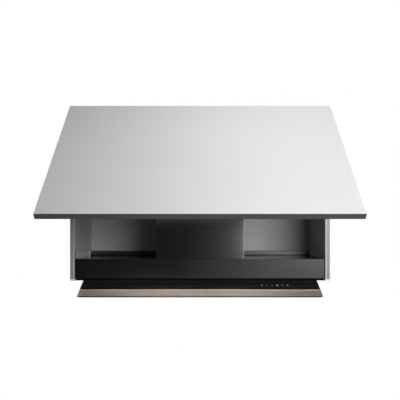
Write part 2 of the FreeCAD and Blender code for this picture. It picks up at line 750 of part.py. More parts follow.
def underside_panel():
    half = BODY_HALF - SHEET
    panel = block(
        -half, half, FRONT + SHEET, BODY_BACK - SHEET, BODY_BOTTOM, BODY_BOTTOM + SHEET
    )
    top = BODY_BOTTOM + SHEET
    lugs = []
    cuts = []
    for side in SIDES.values():
        near, far = sorted(filter_span(side))
        cuts.append(
            block(
                near - FILTER_GAP, far + FILTER_GAP,
                FILTER_FRONT - FILTER_GAP, FILTER_BACK + FILTER_REAR_GAP,
                BODY_BOTTOM, top,
            )
        )
        cuts.append(rod(LAMP_RADIUS, Vector(side * LAMP_X, LAMP_Y, BODY_BOTTOM), Z_AXIS, SHEET))
        for x, way in ((near - FILTER_GAP, -1), (far + FILTER_GAP, 1)):
            lugs.append(
                block(
                    x, x + way * FILTER_LUG,
                    FILTER_PIVOT_Y - LUG_HALF, FILTER_PIVOT_Y + LUG_HALF,
                    BODY_BOTTOM, FILTER_PIVOT_Z + LUG_HALF,
                )
            )
            cuts.append(
                cross_rod(
                    FILTER_PIN_RADIUS + RUNNING_CLEARANCE,
                    x, x + way * FILTER_LUG, FILTER_PIVOT_Y, FILTER_PIVOT_Z,
                )
            )
    return cut_by(joined([panel] + lugs), cuts)


def rear_spacer():
    outer = block(-INNER_X, INNER_X, BODY_BACK, BACK_FRONT, BODY_BOTTOM, SPACER_TOP)
    inner = block(
        -INNER_X + SHEET, INNER_X - SHEET,
        BODY_BACK + SHEET, BACK_FRONT,
        BODY_BOTTOM, SPACER_TOP - SHEET,
    )
    return outer.cut(inner)


def mounting_bracket(side):
    """A tapered side strip between the hood body and the cabinet side, with an end flange."""
    x0 = side * (BODY_HALF + SIDE_BRACKET_GAP)
    x1 = side * INNER_X
    back = BODY_BACK - SIDE_BRACKET_END_GAP
    outline = [
        (FRONT, BODY_BOTTOM),
        (back, BODY_BOTTOM),
        (back, SPACER_TOP),
        (FRONT, SIDE_BRACKET_FRONT_TOP),
    ]
    strip = prism_x(outline, x0, x1)
    flange = block(
        side * (INNER_X - SIDE_BRACKET_FLANGE), x1,
        back - SHEET, back,
        BODY_TOP + SIDE_BRACKET_GAP, SPACER_TOP,
    )
    cuts = [screw_hole(start, way) for start, way in body_screws(side)]
    return cut_by(joined([strip, flange]), cuts)


def body_fixing_screws():
    return Part.makeCompound(
        [screw(start, way) for side in SIDES.values() for start, way in body_screws(side)]
    )


# ---- motor housing ----
def motor_housing():
    half = HOUSING_WIDTH / 2
    outer = block(-half, half, FRONT, HOUSING_BACK, BODY_TOP, HOUSING_TOP)
    outer = softened(
        outer, BEND_RADIUS,
        lambda middle, way: abs(middle.y - FRONT) < 0.01 and abs(way.z) > 0.9,
    )
    cavity = block(
        -half + SHEET, half - SHEET,
        FRONT + SHEET, HOUSING_BACK - SHEET,
        BODY_TOP, HOUSING_TOP - SHEET,
    )
    outlet = rod(COLLAR_RADIUS, Vector(0, DUCT_Y, HOUSING_TOP - SHEET), Z_AXIS, SHEET)
    gland = rod(GLAND_RADIUS, Vector(GLAND_X, GLAND_Y, HOUSING_TOP - SHEET), Z_AXIS, SHEET)
    rear_overlap = block(-half, half, BODY_BACK, HOUSING_BACK, BODY_TOP, SPACER_TOP)
    return cut_by(outer, [cavity, outlet, gland, rear_overlap])


def outlet_flange():
    """The ring on the housing that the collar stands on."""
    centre = Vector(0, DUCT_Y, HOUSING_TOP)
    inner = COLLAR_RADIUS - COLLAR_WALL
    return tube(COLLAR_FLANGE_RADIUS, inner, centre, Z_AXIS, COLLAR_FLANGE)


def outlet_collar():
    centre = Vector(0, DUCT_Y, HOUSING_TOP + COLLAR_FLANGE)
    inner = COLLAR_RADIUS - COLLAR_WALL
    wall = tube(COLLAR_RADIUS, inner, centre, Z_AXIS, COLLAR_LENGTH)
    rod_hole = cross_rod(
        DAMPER_ROD_RADIUS, -COLLAR_RADIUS, COLLAR_RADIUS, DUCT_Y, DAMPER_Z
    )
    return wall.cut(rod_hole)


def damper_rod():
    return cross_rod(DAMPER_ROD_RADIUS, -COLLAR_RADIUS, COLLAR_RADIUS, DUCT_Y, DAMPER_Z)


def damper(way):
    """One half-round leaf on sleeves round the rod; way is -1 for the front, 1 for the back."""
    radius = COLLAR_RADIUS - COLLAR_WALL - DAMPER_CLEARANCE
    base = DAMPER_Z - DAMPER_THICKNESS / 2
    disc = rod(radius, Vector(0, DUCT_Y, base), Z_AXIS, DAMPER_THICKNESS)
    keep = DAMPER_SLEEVE_RADIUS + DAMPER_SLEEVE_GAP
    far = DUCT_Y + way * (radius + 1.0)
    leaf = disc.common(block(-radius, radius, DUCT_Y + way * keep, far, base, base + 5.0))
    reach = math.sqrt(radius ** 2 - DAMPER_SLEEVE_RADIUS ** 2) - DAMPER_SLEEVE_MARGIN
    width = 2 * reach / DAMPER_SLEEVES
    pieces = [leaf]
    holes = []
    for index in range(DAMPER_SLEEVES):
        if (index % 2 == 0) != (way < 0):
            continue
        x0 = -reach + index * width + DAMPER_SLEEVE_GAP
        x1 = -reach + (index + 1) * width - DAMPER_SLEEVE_GAP
        pieces.append(cross_rod(DAMPER_SLEEVE_RADIUS, x0, x1, DUCT_Y, DAMPER_Z))
        pieces.append(
            block(x0, x1, DUCT_Y, DUCT_Y + way * (keep + 1.0), base, base + DAMPER_THICKNESS)
        )
        holes.append(
            cross_rod(DAMPER_ROD_RADIUS + RUNNING_CLEARANCE, x0, x1, DUCT_Y, DAMPER_Z)
        )
    return cut_by(joined(pieces), holes)


def cable_gland():
    centre = Vector(GLAND_X, GLAND_Y, HOUSING_TOP)
    body = rod(GLAND_RADIUS, centre - Z_AXIS * GLAND_INSIDE, Z_AXIS, GLAND_INSIDE + GLAND_HEIGHT)
    flange = rod(GLAND_FLANGE_RADIUS, centre, Z_AXIS, GLAND_FLANGE)
    bore = rod(
        GLAND_BORE_RADIUS, centre - Z_AXIS * GLAND_INSIDE, Z_AXIS, GLAND_INSIDE + GLAND_HEIGHT
    )
    return body.fuse(flange).cut(bore)


# ---- blower ----
def scroll_points(extra):
    """The spiral wall from the cut-off round to the outlet, pushed out by extra."""
    points = []
    for index in range(SCROLL_POINTS + 1):
        share = index / SCROLL_POINTS
        angle = math.radians(SCROLL_START_ANGLE - SCROLL_TURN * share)
        radius = WHEEL_RADIUS + SCROLL_START_GAP + SCROLL_GROWTH * share + extra
        points.append((DUCT_Y + radius * math.cos(angle), BLOWER_HEIGHT + radius * math.sin(angle)))
    return points


def scroll_outline(extra):
    """The closed outline: the spiral, then the outlet duct up to the housing's top plate."""
    points = scroll_points(extra)
    top = HOUSING_TOP - SHEET
    outlet = [
        (DUCT_Y - OUTLET_HALF - extra, top - OUTLET_NECK),
        (DUCT_Y - OUTLET_HALF - extra, top),
        (DUCT_Y + OUTLET_HALF + extra, top),
        (DUCT_Y + OUTLET_HALF + extra, points[0][1] + OUTLET_LIP),
    ]
    return points + outlet


def blower_scroll():
    half = WHEEL_WIDTH / 2 + SCROLL_SIDE_GAP
    outer = prism_x(scroll_outline(SCROLL_WALL), -half - SCROLL_WALL, half + SCROLL_WALL)
    inner = prism_x(scroll_outline(0.0), -half, half)
    mouth = block(
        -half, half, DUCT_Y - OUTLET_HALF, DUCT_Y + OUTLET_HALF,
        HOUSING_TOP - SHEET - 1.0, HOUSING_TOP - SHEET,
    )
    inlet = cross_rod(INLET_RADIUS, half, half + SCROLL_WALL, DUCT_Y, BLOWER_HEIGHT)
    shaft_hole = cross_rod(
        SHAFT_RADIUS + SHAFT_HOLE_GAP, -half - SCROLL_WALL, -half, DUCT_Y, BLOWER_HEIGHT
    )
    return cut_by(outer, [inner, mouth, inlet, shaft_hole])


def motor_x():
    inner = -WHEEL_WIDTH / 2 - SCROLL_SIDE_GAP - SCROLL_WALL
    return inner - MOTOR_LENGTH, inner


def blower_motor():
    x0, x1 = motor_x()
    can = cross_rod(MOTOR_RADIUS, x0, x1, DUCT_Y, BLOWER_HEIGHT)
    flange_radius = MOTOR_RADIUS + MOTOR_FLANGE_LIP
    flange = cross_rod(flange_radius, x1 - MOTOR_FLANGE, x1, DUCT_Y, BLOWER_HEIGHT)
    bore = cross_rod(
        SHAFT_RADIUS + RUNNING_CLEARANCE, x0 + MOTOR_END_WALL, x1, DUCT_Y, BLOWER_HEIGHT
    )
    grooves = []
    for index in range(MOTOR_GROOVES):
        x = x0 + MOTOR_GROOVE_START + MOTOR_GROOVE_PITCH * index
        start = Vector(x, DUCT_Y, BLOWER_HEIGHT)
        floor = MOTOR_RADIUS - MOTOR_GROOVE_DEPTH
        grooves.append(tube(MOTOR_RADIUS + 1.0, floor, start, X_AXIS, MOTOR_GROOVE))
    return cut_by(joined([can, flange]), [bore] + grooves)


def motor_shaft():
    x0 = motor_x()[0] + MOTOR_END_WALL + SHAFT_END_GAP
    x1 = -WHEEL_WIDTH / 2 + HUB_LENGTH
    return cross_rod(SHAFT_RADIUS, x0, x1, DUCT_Y, BLOWER_HEIGHT)


def blower_wheel():
    half = WHEEL_WIDTH / 2
    disc = cross_rod(WHEEL_RADIUS, -half, -half + WHEEL_DISC, DUCT_Y, BLOWER_HEIGHT)
    ring = tube(
        WHEEL_RADIUS, WHEEL_BORE_RADIUS, Vector(half - WHEEL_DISC, DUCT_Y, BLOWER_HEIGHT),
        X_AXIS, WHEEL_DISC,
    )
    hub = cross_rod(HUB_RADIUS, -half, -half + HUB_LENGTH, DUCT_Y, BLOWER_HEIGHT)
    blade = block(
        -half + BLADE_END_GAP, half - BLADE_END_GAP,
        DUCT_Y - BLADE_THICKNESS / 2, DUCT_Y + BLADE_THICKNESS / 2,
        BLOWER_HEIGHT + WHEEL_BORE_RADIUS + 1.0, BLOWER_HEIGHT + WHEEL_RADIUS - 1.0,
    )
    blade = turned(blade, Vector(0, DUCT_Y, BLOWER_HEIGHT + WHEEL_BORE_RADIUS), BLADE_TURN)
    blade = blade.common(
        tube(WHEEL_RADIUS - 0.3, WHEEL_BORE_RADIUS + 0.3,
             Vector(-half, DUCT_Y, BLOWER_HEIGHT), X_AXIS, WHEEL_WIDTH)
    )
    centre = Vector(0, DUCT_Y, BLOWER_HEIGHT)
    blades = [turned(blade, centre, 360.0 * i / BLADE_COUNT) for i in range(BLADE_COUNT)]
    bore = cross_rod(SHAFT_RADIUS, -half, -half + HUB_LENGTH, DUCT_Y, BLOWER_HEIGHT)
    return disc.multiFuse([ring, hub] + blades).cut(bore)


# ---- underside ----
def lamp_bezel(side):
    centre = Vector(side * LAMP_X, LAMP_Y, BODY_BOTTOM)
    flange = rod(LAMP_RADIUS + LAMP_FLANGE_LIP, centre - Z_AXIS * LAMP_FLANGE, Z_AXIS, LAMP_FLANGE)
    barrel = rod(LAMP_RADIUS, centre, Z_AXIS, LAMP_BARREL)
    face = centre - Z_AXIS * LAMP_FLANGE
    depth = LAMP_FLANGE + LAMP_BARREL - SHEET
    hollow = rod(LAMP_RADIUS - LAMP_LENS_SEAT, face, Z_AXIS, depth)
    return flange.fuse(barrel).cut(hollow)


def lamp_lens(side):
    base = Vector(side * LAMP_X, LAMP_Y, BODY_BOTTOM - LAMP_FLANGE + LENS_RECESS)
    return rod(LAMP_RADIUS - LAMP_LENS_SEAT, base, Z_AXIS, LENS_THICKNESS)


def control_box():
    floor = BODY_BOTTOM + SHEET
    y0 = FRONT + SHEET + CONTROL_FRONT_GAP
    box = block(
        CONTROL_X - CONTROL_WIDTH / 2, CONTROL_X + CONTROL_WIDTH / 2,
        y0, y0 + CONTROL_DEPTH, floor, floor + CONTROL_HEIGHT,
    )
    return softened(box, CONTROL_CORNER, lambda middle, way: abs(way.z) > 0.9)


def filter_frame(side):
    near, far = sorted(filter_span(side))
    top = BODY_BOTTOM + FILTER_THICKNESS
    outer = block(near, far, FILTER_FRONT, FILTER_BACK, BODY_BOTTOM, top)
    window = block(
        near + FILTER_BORDER, far - FILTER_BORDER,
        FILTER_FRONT + FILTER_BORDER, FILTER_BACK - FILTER_BORDER,
        BODY_BOTTOM, top,
    )
    pins = []
    for x, way in ((near, -1), (far, 1)):
        pins.append(
            cross_rod(
                FILTER_PIN_RADIUS, x - way * 2.0, x + way * FILTER_PIN_LENGTH,
                FILTER_PIVOT_Y, FILTER_PIVOT_Z,
            )
        )
    return joined([outer.cut(window)] + pins)


def filter_mesh(side):
    near, far = sorted(filter_span(side))
    x0 = near + FILTER_BORDER
    x1 = far - FILTER_BORDER
    y0 = FILTER_FRONT + FILTER_BORDER
    y1 = FILTER_BACK - FILTER_BORDER
    base = BODY_BOTTOM + (FILTER_THICKNESS - MESH_THICKNESS) / 2
    panel = block(x0, x1, y0, y1, base, base + MESH_THICKNESS)
    pitch = (x1 - x0) / FILTER_SLOTS
    slot = pitch * FILTER_SLOT_SHARE
    slots = []
    for index in range(FILTER_SLOTS):
        middle = x0 + pitch * (index + 0.5)
        slots.append(
            block(middle - slot / 2, middle + slot / 2, y0 + FILTER_SLOT_MARGIN, y1 - FILTER_SLOT_MARGIN,
                  base, base + MESH_THICKNESS)
        )
    return cut_by(panel, slots)


def filter_pull(side):
    near, far = sorted(filter_span(side))
    middle = (near + far) / 2
    y0 = FILTER_FRONT + PULL_FRONT
    pull = block(
        middle - PULL_WIDTH / 2, middle + PULL_WIDTH / 2,
        y0, y0 + PULL_DEPTH, BODY_BOTTOM - PULL_HEIGHT, BODY_BOTTOM,
    )
    low = BODY_BOTTOM - PULL_HEIGHT / 2
    return softened(pull, PULL_CORNER, lambda middle, way: middle.z < low and abs(way.x) > 0.9)


# ---- visor ----
def visor_bracket(side):
    """Hangs from the underside panel and holds the visor's pivot pin."""
    x0 = VISOR_EAR_X + VISOR_EAR_THICKNESS / 2 + VISOR_EAR_GAP
    x1 = x0 + VISOR_EAR_THICKNESS
    y = VISOR_PIVOT.y
    plate = block(
        side * x0, side * x1,
        y - VISOR_BRACKET_HALF, y + VISOR_BRACKET_HALF,
        VISOR_PIVOT_HEIGHT, BODY_BOTTOM,
    )
    boss = cross_rod(VISOR_EAR_RADIUS, side * x0, side * x1, y, VISOR_PIVOT_HEIGHT)
    foot = block(
        side * x0, side * (x1 + VISOR_BRACKET_FOOT),
        y - VISOR_BRACKET_FOOT, y + VISOR_BRACKET_FOOT,
        BODY_BOTTOM - SHEET, BODY_BOTTOM,
    )
    hole = cross_rod(
        VISOR_PIN_RADIUS + RUNNING_CLEARANCE, side * x0, side * x1, y, VISOR_PIVOT_HEIGHT
    )
    return joined([plate, boss, foot]).cut(hole)


def visor_pins():
    x0 = VISOR_EAR_X - VISOR_EAR_THICKNESS / 2
    x1 = VISOR_EAR_X + VISOR_EAR_THICKNESS * 1.5 + VISOR_EAR_GAP
    pins = [
        cross_rod(VISOR_PIN_RADIUS, side * x0, side * x1, VISOR_PIVOT.y, VISOR_PIVOT_HEIGHT)
        for side in SIDES.values()
    ]
    return visor_open(Part.makeCompound(pins))


def visor_lip():
    half = VISOR_HALF
    low = VISOR_TOP - LIP_THICKNESS
    outline = [
        (-half, VISOR_TOP),
        (-half, VISOR_TOP - LIP_SIDE_EDGE),
        (-half + LIP_CORNER, low),
        (half - LIP_CORNER, low),
        (half, VISOR_TOP - LIP_SIDE_EDGE),
        (half, VISOR_TOP),
    ]
    bar = prism_y(outline, VISOR_FRONT, LIP_BACK)
    bar = softened(
        bar, GLASS_SOFTENING,
        lambda middle, way: abs(middle.z - VISOR_TOP) < 0.01 and abs(way.x) > 0.9,
    )
    return visor_open(bar)


def visor_glass():
    half = VISOR_HALF - GLASS_EDGE
    rear = VISOR_PIVOT.y - GLASS_REAR_SPACE
    pane = block(
        -half, half, LIP_BACK + GLASS_JOINT, rear, VISOR_TOP - GLASS_THICKNESS, VISOR_TOP
    )
    pane = softened(pane, GLASS_SOFTENING, lambda middle, way: abs(middle.z - VISOR_TOP) < 0.01)
    return visor_open(pane)


def visor_tray():
    half = VISOR_HALF
    rear = VISOR_PIVOT.y - GLASS_REAR_SPACE
    low = VISOR_TOP - TRAY_DEPTH
    shelf = VISOR_TOP - GLASS_THICKNESS
    outer = block(-half, half, LIP_BACK, VISOR_BACK, low, VISOR_TOP)
    seat = block(
        -half + GLASS_EDGE, half - GLASS_EDGE, LIP_BACK, rear + GLASS_JOINT, shelf, VISOR_TOP
    )
    well = block(
        -half + TRAY_LEDGE, half - TRAY_LEDGE,
        LIP_BACK + TRAY_WELL_LEDGE, rear - TRAY_WELL_LEDGE,
        low + TRAY_SHEET, shelf,
    )
    tongue = block(
        -half + TONGUE_INSET, half - TONGUE_INSET,
        VISOR_FRONT + TONGUE_INSET, LIP_BACK,
        VISOR_TOP - LIP_THICKNESS - TONGUE_THICKNESS, VISOR_TOP - LIP_THICKNESS,
    )
    pieces = [cut_by(outer, [seat, well]), tongue]
    holes = []
    for side in SIDES.values():
        x0 = side * (VISOR_EAR_X - VISOR_EAR_THICKNESS / 2)
        x1 = side * (VISOR_EAR_X + VISOR_EAR_THICKNESS / 2)
        y = VISOR_PIVOT.y
        pieces.append(
            block(x0, x1, y - VISOR_EAR_RADIUS, y + VISOR_EAR_RADIUS, VISOR_TOP - 1.0,
                  VISOR_PIVOT_HEIGHT)
        )
        pieces.append(cross_rod(VISOR_EAR_RADIUS, x0, x1, y, VISOR_PIVOT_HEIGHT))
        holes.append(cross_rod(VISOR_PIN_RADIUS, x0, x1, y, VISOR_PIVOT_HEIGHT))
    return visor_open(cut_by(joined(pieces), holes))


def touch_board():
    shelf = VISOR_TOP - GLASS_THICKNESS
    y0 = LIP_BACK + TOUCH_BOARD_FRONT
    board = block(
        TOUCH_BOARD_X - TOUCH_BOARD_WIDTH / 2, TOUCH_BOARD_X + TOUCH_BOARD_WIDTH / 2,
        y0, y0 + TOUCH_BOARD_DEPTH,
        shelf - TOUCH_BOARD_THICKNESS, shelf,
    )
    return visor_open(board)


os.makedirs("parts", exist_ok=True)

for side_name, side_sign in SIDES.items():
    save("side_panel_" + side_name, side_panel(side_sign))
    save("hinge_arm_" + side_name, hinge_arm(side_sign))
    save("hinge_leaf_" + side_name, hinge_leaf(side_sign))
    save("hinge_pin_" + side_name, hinge_pin(side_sign))
    save("strut_bracket_" + side_name, strut_bracket(side_sign))
    save("flap_bracket_" + side_name, flap_bracket(side_sign))
    save("strut_cylinder_" + side_name, strut_cylinder(side_sign))
    save("strut_rod_" + side_name, strut_rod(side_sign))
    save("mounting_bracket_" + side_name, mounting_bracket(side_sign))
    save("lamp_bezel_" + side_name, lamp_bezel(side_sign))
    save("lamp_lens_" + side_name, lamp_lens(side_sign))
    save("filter_frame_" + side_name, filter_frame(side_sign))
    save("filter_mesh_" + side_name, filter_mesh(side_sign))
    save("filter_pull_" + side_name, filter_pull(side_sign))
    save("visor_bracket_" + side_name, visor_bracket(side_sign))

save("top_panel", top_panel())
save("back_panel", back_panel())
save("rear_rail_upper", rear_rail(TOP_UNDERSIDE - UPPER_RAIL_HEIGHT, TOP_UNDERSIDE))
save("rear_rail_lower", rear_rail(0, LOWER_RAIL_HEIGHT))
save("cabinet_screws", cabinet_screws())
save("flap_bumpers", flap_bumpers())
save("hardware_screws", hardware_screws())
save("flap_panel", flap_panel())
save("flap_screws", flap_screws())
save("hood_body_shell", hood_body_shell())
save("underside_panel", underside_panel())
save("rear_spacer", rear_spacer())
save("body_fixing_screws", body_fixing_screws())
save("motor_housing", motor_housing())
save("outlet_flange", outlet_flange())
save("outlet_collar", outlet_collar())
save("damper_rod", damper_rod())
save("damper_front", damper(-1))
save("damper_back", damper(1))
save("cable_gland", cable_gland())
save("blower_scroll", blower_scroll())
save("blower_motor", blower_motor())
save("motor_shaft", motor_shaft())
save("blower_wheel", blower_wheel())
save("control_box", control_box())
save("visor_pins", visor_pins())
save("visor_lip", visor_lip())
save("visor_glass", visor_glass())
save("visor_tray", visor_tray())
save("touch_board", touch_board())

print("hinge pin", HINGE_PIN, "visor pivot", VISOR_PIVOT)
print("filter pivot", FILTER_PIVOT_Y, FILTER_PIVOT_Z, "damper", DUCT_Y, DAMPER_Z)
print("strut top", STRUT_TOP, "strut foot open", STRUT_FOOT_OPEN)
print("strut closed", strut_length(0), "fully open", strut_length(FLAP_TRAVEL), "tube end", TUBE_END)
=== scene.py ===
import json
import math

import bpy
from bpy.props import FloatProperty, FloatVectorProperty, PointerProperty
from mathutils import Matrix, Vector

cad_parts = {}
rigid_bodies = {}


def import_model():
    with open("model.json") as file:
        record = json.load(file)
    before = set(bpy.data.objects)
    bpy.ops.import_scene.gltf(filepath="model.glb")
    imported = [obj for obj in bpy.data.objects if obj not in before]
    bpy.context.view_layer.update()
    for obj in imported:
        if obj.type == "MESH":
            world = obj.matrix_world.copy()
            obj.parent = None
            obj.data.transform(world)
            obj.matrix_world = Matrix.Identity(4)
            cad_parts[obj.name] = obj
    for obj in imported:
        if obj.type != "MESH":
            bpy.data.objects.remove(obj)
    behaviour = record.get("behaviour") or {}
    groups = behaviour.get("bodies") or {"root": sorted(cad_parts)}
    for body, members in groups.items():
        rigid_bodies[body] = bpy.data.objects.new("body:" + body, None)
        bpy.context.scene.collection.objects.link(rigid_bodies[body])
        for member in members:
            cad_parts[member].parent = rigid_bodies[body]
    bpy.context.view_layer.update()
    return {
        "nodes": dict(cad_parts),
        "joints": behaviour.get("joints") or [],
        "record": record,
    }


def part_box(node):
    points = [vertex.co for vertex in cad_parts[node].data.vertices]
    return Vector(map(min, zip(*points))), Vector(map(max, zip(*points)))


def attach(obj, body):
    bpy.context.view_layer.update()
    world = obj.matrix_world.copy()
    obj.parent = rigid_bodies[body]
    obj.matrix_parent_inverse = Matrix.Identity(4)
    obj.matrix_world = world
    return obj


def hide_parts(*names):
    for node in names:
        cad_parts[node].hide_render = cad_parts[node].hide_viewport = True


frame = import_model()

bl_info = {
    "name": "Cooker hood unit with lift-up front",
    "version": (1, 0, 0),
    "blender": (4, 5, 0),
    "location": "3D View > Sidebar > Hood",
    "description": "Dresses the packed cooker hood and its wall cabinet",
    "category": "Object",
}

# ---- places read from the frame ----
JOINTS = {joint["name"]: joint for joint in frame["joints"]}
SIDES = {"left": -1, "right": 1}
MM = 0.001


def joint_place(name):
    return Vector(JOINTS[name]["pos_m"])


def rest_opening(name):
    """How far a joint stands open at rest, in radians."""
    return math.radians(-min(JOINTS[name]["range_deg"]))


HINGE = joint_place("flap_swing")
FLAP_OPENING = rest_opening("flap_swing")
VISOR_PIVOT = joint_place("visor_tilt")
VISOR_OPENING = rest_opening("visor_tilt")


def closed_box(node, pivot, turn):
    """A turned CAD node's corners in its closed place, where its sides are square to the axes."""
    back = Matrix.Translation(pivot) @ Matrix.Rotation(-turn, 4, "X") @ Matrix.Translation(-pivot)
    points = [back @ vertex.co for vertex in frame["nodes"][node].data.vertices]
    low = Vector([min(point[axis] for point in points) for axis in range(3)])
    high = Vector([max(point[axis] for point in points) for axis in range(3)])
    return low, high


# ---- forms that only the scene has ----
# How far up the front's lower end its painted shade reaches, and the glossy top of the body.
FLAP_PAINTED_SHADE = 0.35 * MM
BODY_TOP_SKIN = 0.5 * MM
BODY_TOP_ROUGHNESS = 0.13

# The printed border of the visor's glass, and its paler rear band, a painted reflection.
GLASS_SIDE_BORDER = 4.5 * MM
GLASS_FRONT_BORDER = 10.0 * MM
GLASS_REAR_REFLECTION = 30.0 * MM
GLASS_REFLECTION_FADE = 2.0 * MM

# The visor's lip: dark front strip, groove beside the bead, upright side edge and sloped corner.
LIP_FRONT = 0.9 * MM
LIP_GROOVE_WIDTH = 5.0 * MM
LIP_GROOVE_DEPTH = 0.9 * MM
LIP_SIDE_EDGE = 0.8 * MM
LIP_CORNER = 7.7 * MM

# The row of touch symbols on the glass.
SYMBOL_SIDES = (24, 4, 4, 24, 3, 4)
SYMBOL_RINGS = (0, 5)
SYMBOL_LOW = (1, 2)
SYMBOL_LOW_SHARE = 0.3
SYMBOL_FIRST = 222.0 * MM
SYMBOL_STEP = 18.4 * MM
SYMBOL_INSET = 31.0 * MM
SYMBOL_WIDTH = 6.2 * MM
SYMBOL_DEPTH = 11.0 * MM
SYMBOL_LINE = 1.3 * MM
SYMBOL_RISE = 0.06 * MM

# The frame under the body, whose near-black is painted shade, and the near-black strips of painted shade in
# the gaps round the body.
UNDER_FRAME_STEP = 2.0 * MM
UNDER_FRAME_WALL = 1.2 * MM
UNDER_FRAME_FOOT = 1.0 * MM
UNDER_FRAME_RETURN = 60.0 * MM
SPACER_SHADE_DEPTH = 1.5 * MM
SPACER_SHADE_HEIGHT = 1.8 * MM
SIDE_SHADE_DEPTH = 0.3 * MM

# The filters' expanded metal: outer and inner strands of each layer.
STRAND_ANGLE = math.radians(58.0)
STRAND_THICKNESS = 0.5 * MM
STRAND_OUTER = 0.6 * MM
STRAND_INNER = 1.0 * MM

# The lamps' lenses, domed in steps.
LENS_RIM = 0.1 * MM
LENS_STEPS = (0.25, 0.2, 0.15)
LENS_STEP_DEPTH = 0.05 * MM


# ---- sizes and colours that a user would change ----
class HoodSizes(bpy.types.PropertyGroup):
    edge_tape: FloatProperty(
        name="Edge tape", description="Thickness of the tape on the cabinet's front edges",
        default=0.4 * MM, unit="LENGTH",
    )
    edge_bead: FloatProperty(
        name="Edge bead", description="Width of the paler bead on the inner part of the front edges",
        default=6.0 * MM, unit="LENGTH",
    )
    foot_edge: FloatProperty(
        name="Foot edge", description="Height of the white capping at the foot of the cabinet sides",
        default=5.0 * MM, unit="LENGTH",
    )
    lip_highlight_bead: FloatProperty(
        name="Lip bead", description="Width of the bright bead of the visor's lip beside the glass",
        default=10.0 * MM, unit="LENGTH",
    )
    strand_width: FloatProperty(
        name="Strand width", description="Width of one strand of the filters' expanded metal",
        default=1.2 * MM, unit="LENGTH",
    )
    strand_pitch: FloatProperty(
        name="Strand pitch", description="Distance between strands of the filters' expanded metal",
        default=8.0 * MM, unit="LENGTH",
    )


class HoodColours(bpy.types.PropertyGroup):
    lacquer: FloatVectorProperty(
        name="Lacquer", description="White of the lift-up front", subtype="COLOR",
        default=(0.80, 0.794, 0.80),
    )
    carcass: FloatVectorProperty(
        name="Carcass", description="Laminate of the cabinet", subtype="COLOR",
        default=(0.42, 0.415, 0.42),
    )
    enamel: FloatVectorProperty(
        name="Enamel", description="Black of the hood's sheet metal", subtype="COLOR",
        default=(0.006, 0.006, 0.0057),
    )
    champagne: FloatVectorProperty(
        name="Champagne", description="Anodised metal of the visor's lip", subtype="COLOR",
        default=(0.60, 0.495, 0.43),
    )


def sizes():
    return bpy.context.scene.hood_sizes


def colours():
    return bpy.context.scene.hood_colours


# ---- shader building ----
class Wire:
    """A shader output on which Python's own signs add Math nodes."""

    def __init__(self, paint, socket):
        self.paint = paint
        self.socket = socket

    def maths(self, operation, first, second):
        return self.paint.node("ShaderNodeMath", {"operation": operation}, {0: first, 1: second})

    def __add__(self, other):
        return self.maths("ADD", self, other)

    def __radd__(self, other):
        return self.maths("ADD", other, self)

    def __sub__(self, other):
        return self.maths("SUBTRACT", self, other)

    def __mul__(self, other):
        return self.maths("MULTIPLY", self, other)

    def __rmul__(self, other):
        return self.maths("MULTIPLY", other, self)

    def __gt__(self, other):
        return self.maths("GREATER_THAN", self, other)

    def __lt__(self, other):
        return self.maths("LESS_THAN", self, other)

    def size(self):
        return self.maths("ABSOLUTE", self, 0.0)

    def or_else(self, other):
        return self.maths("MAXIMUM", self, other)


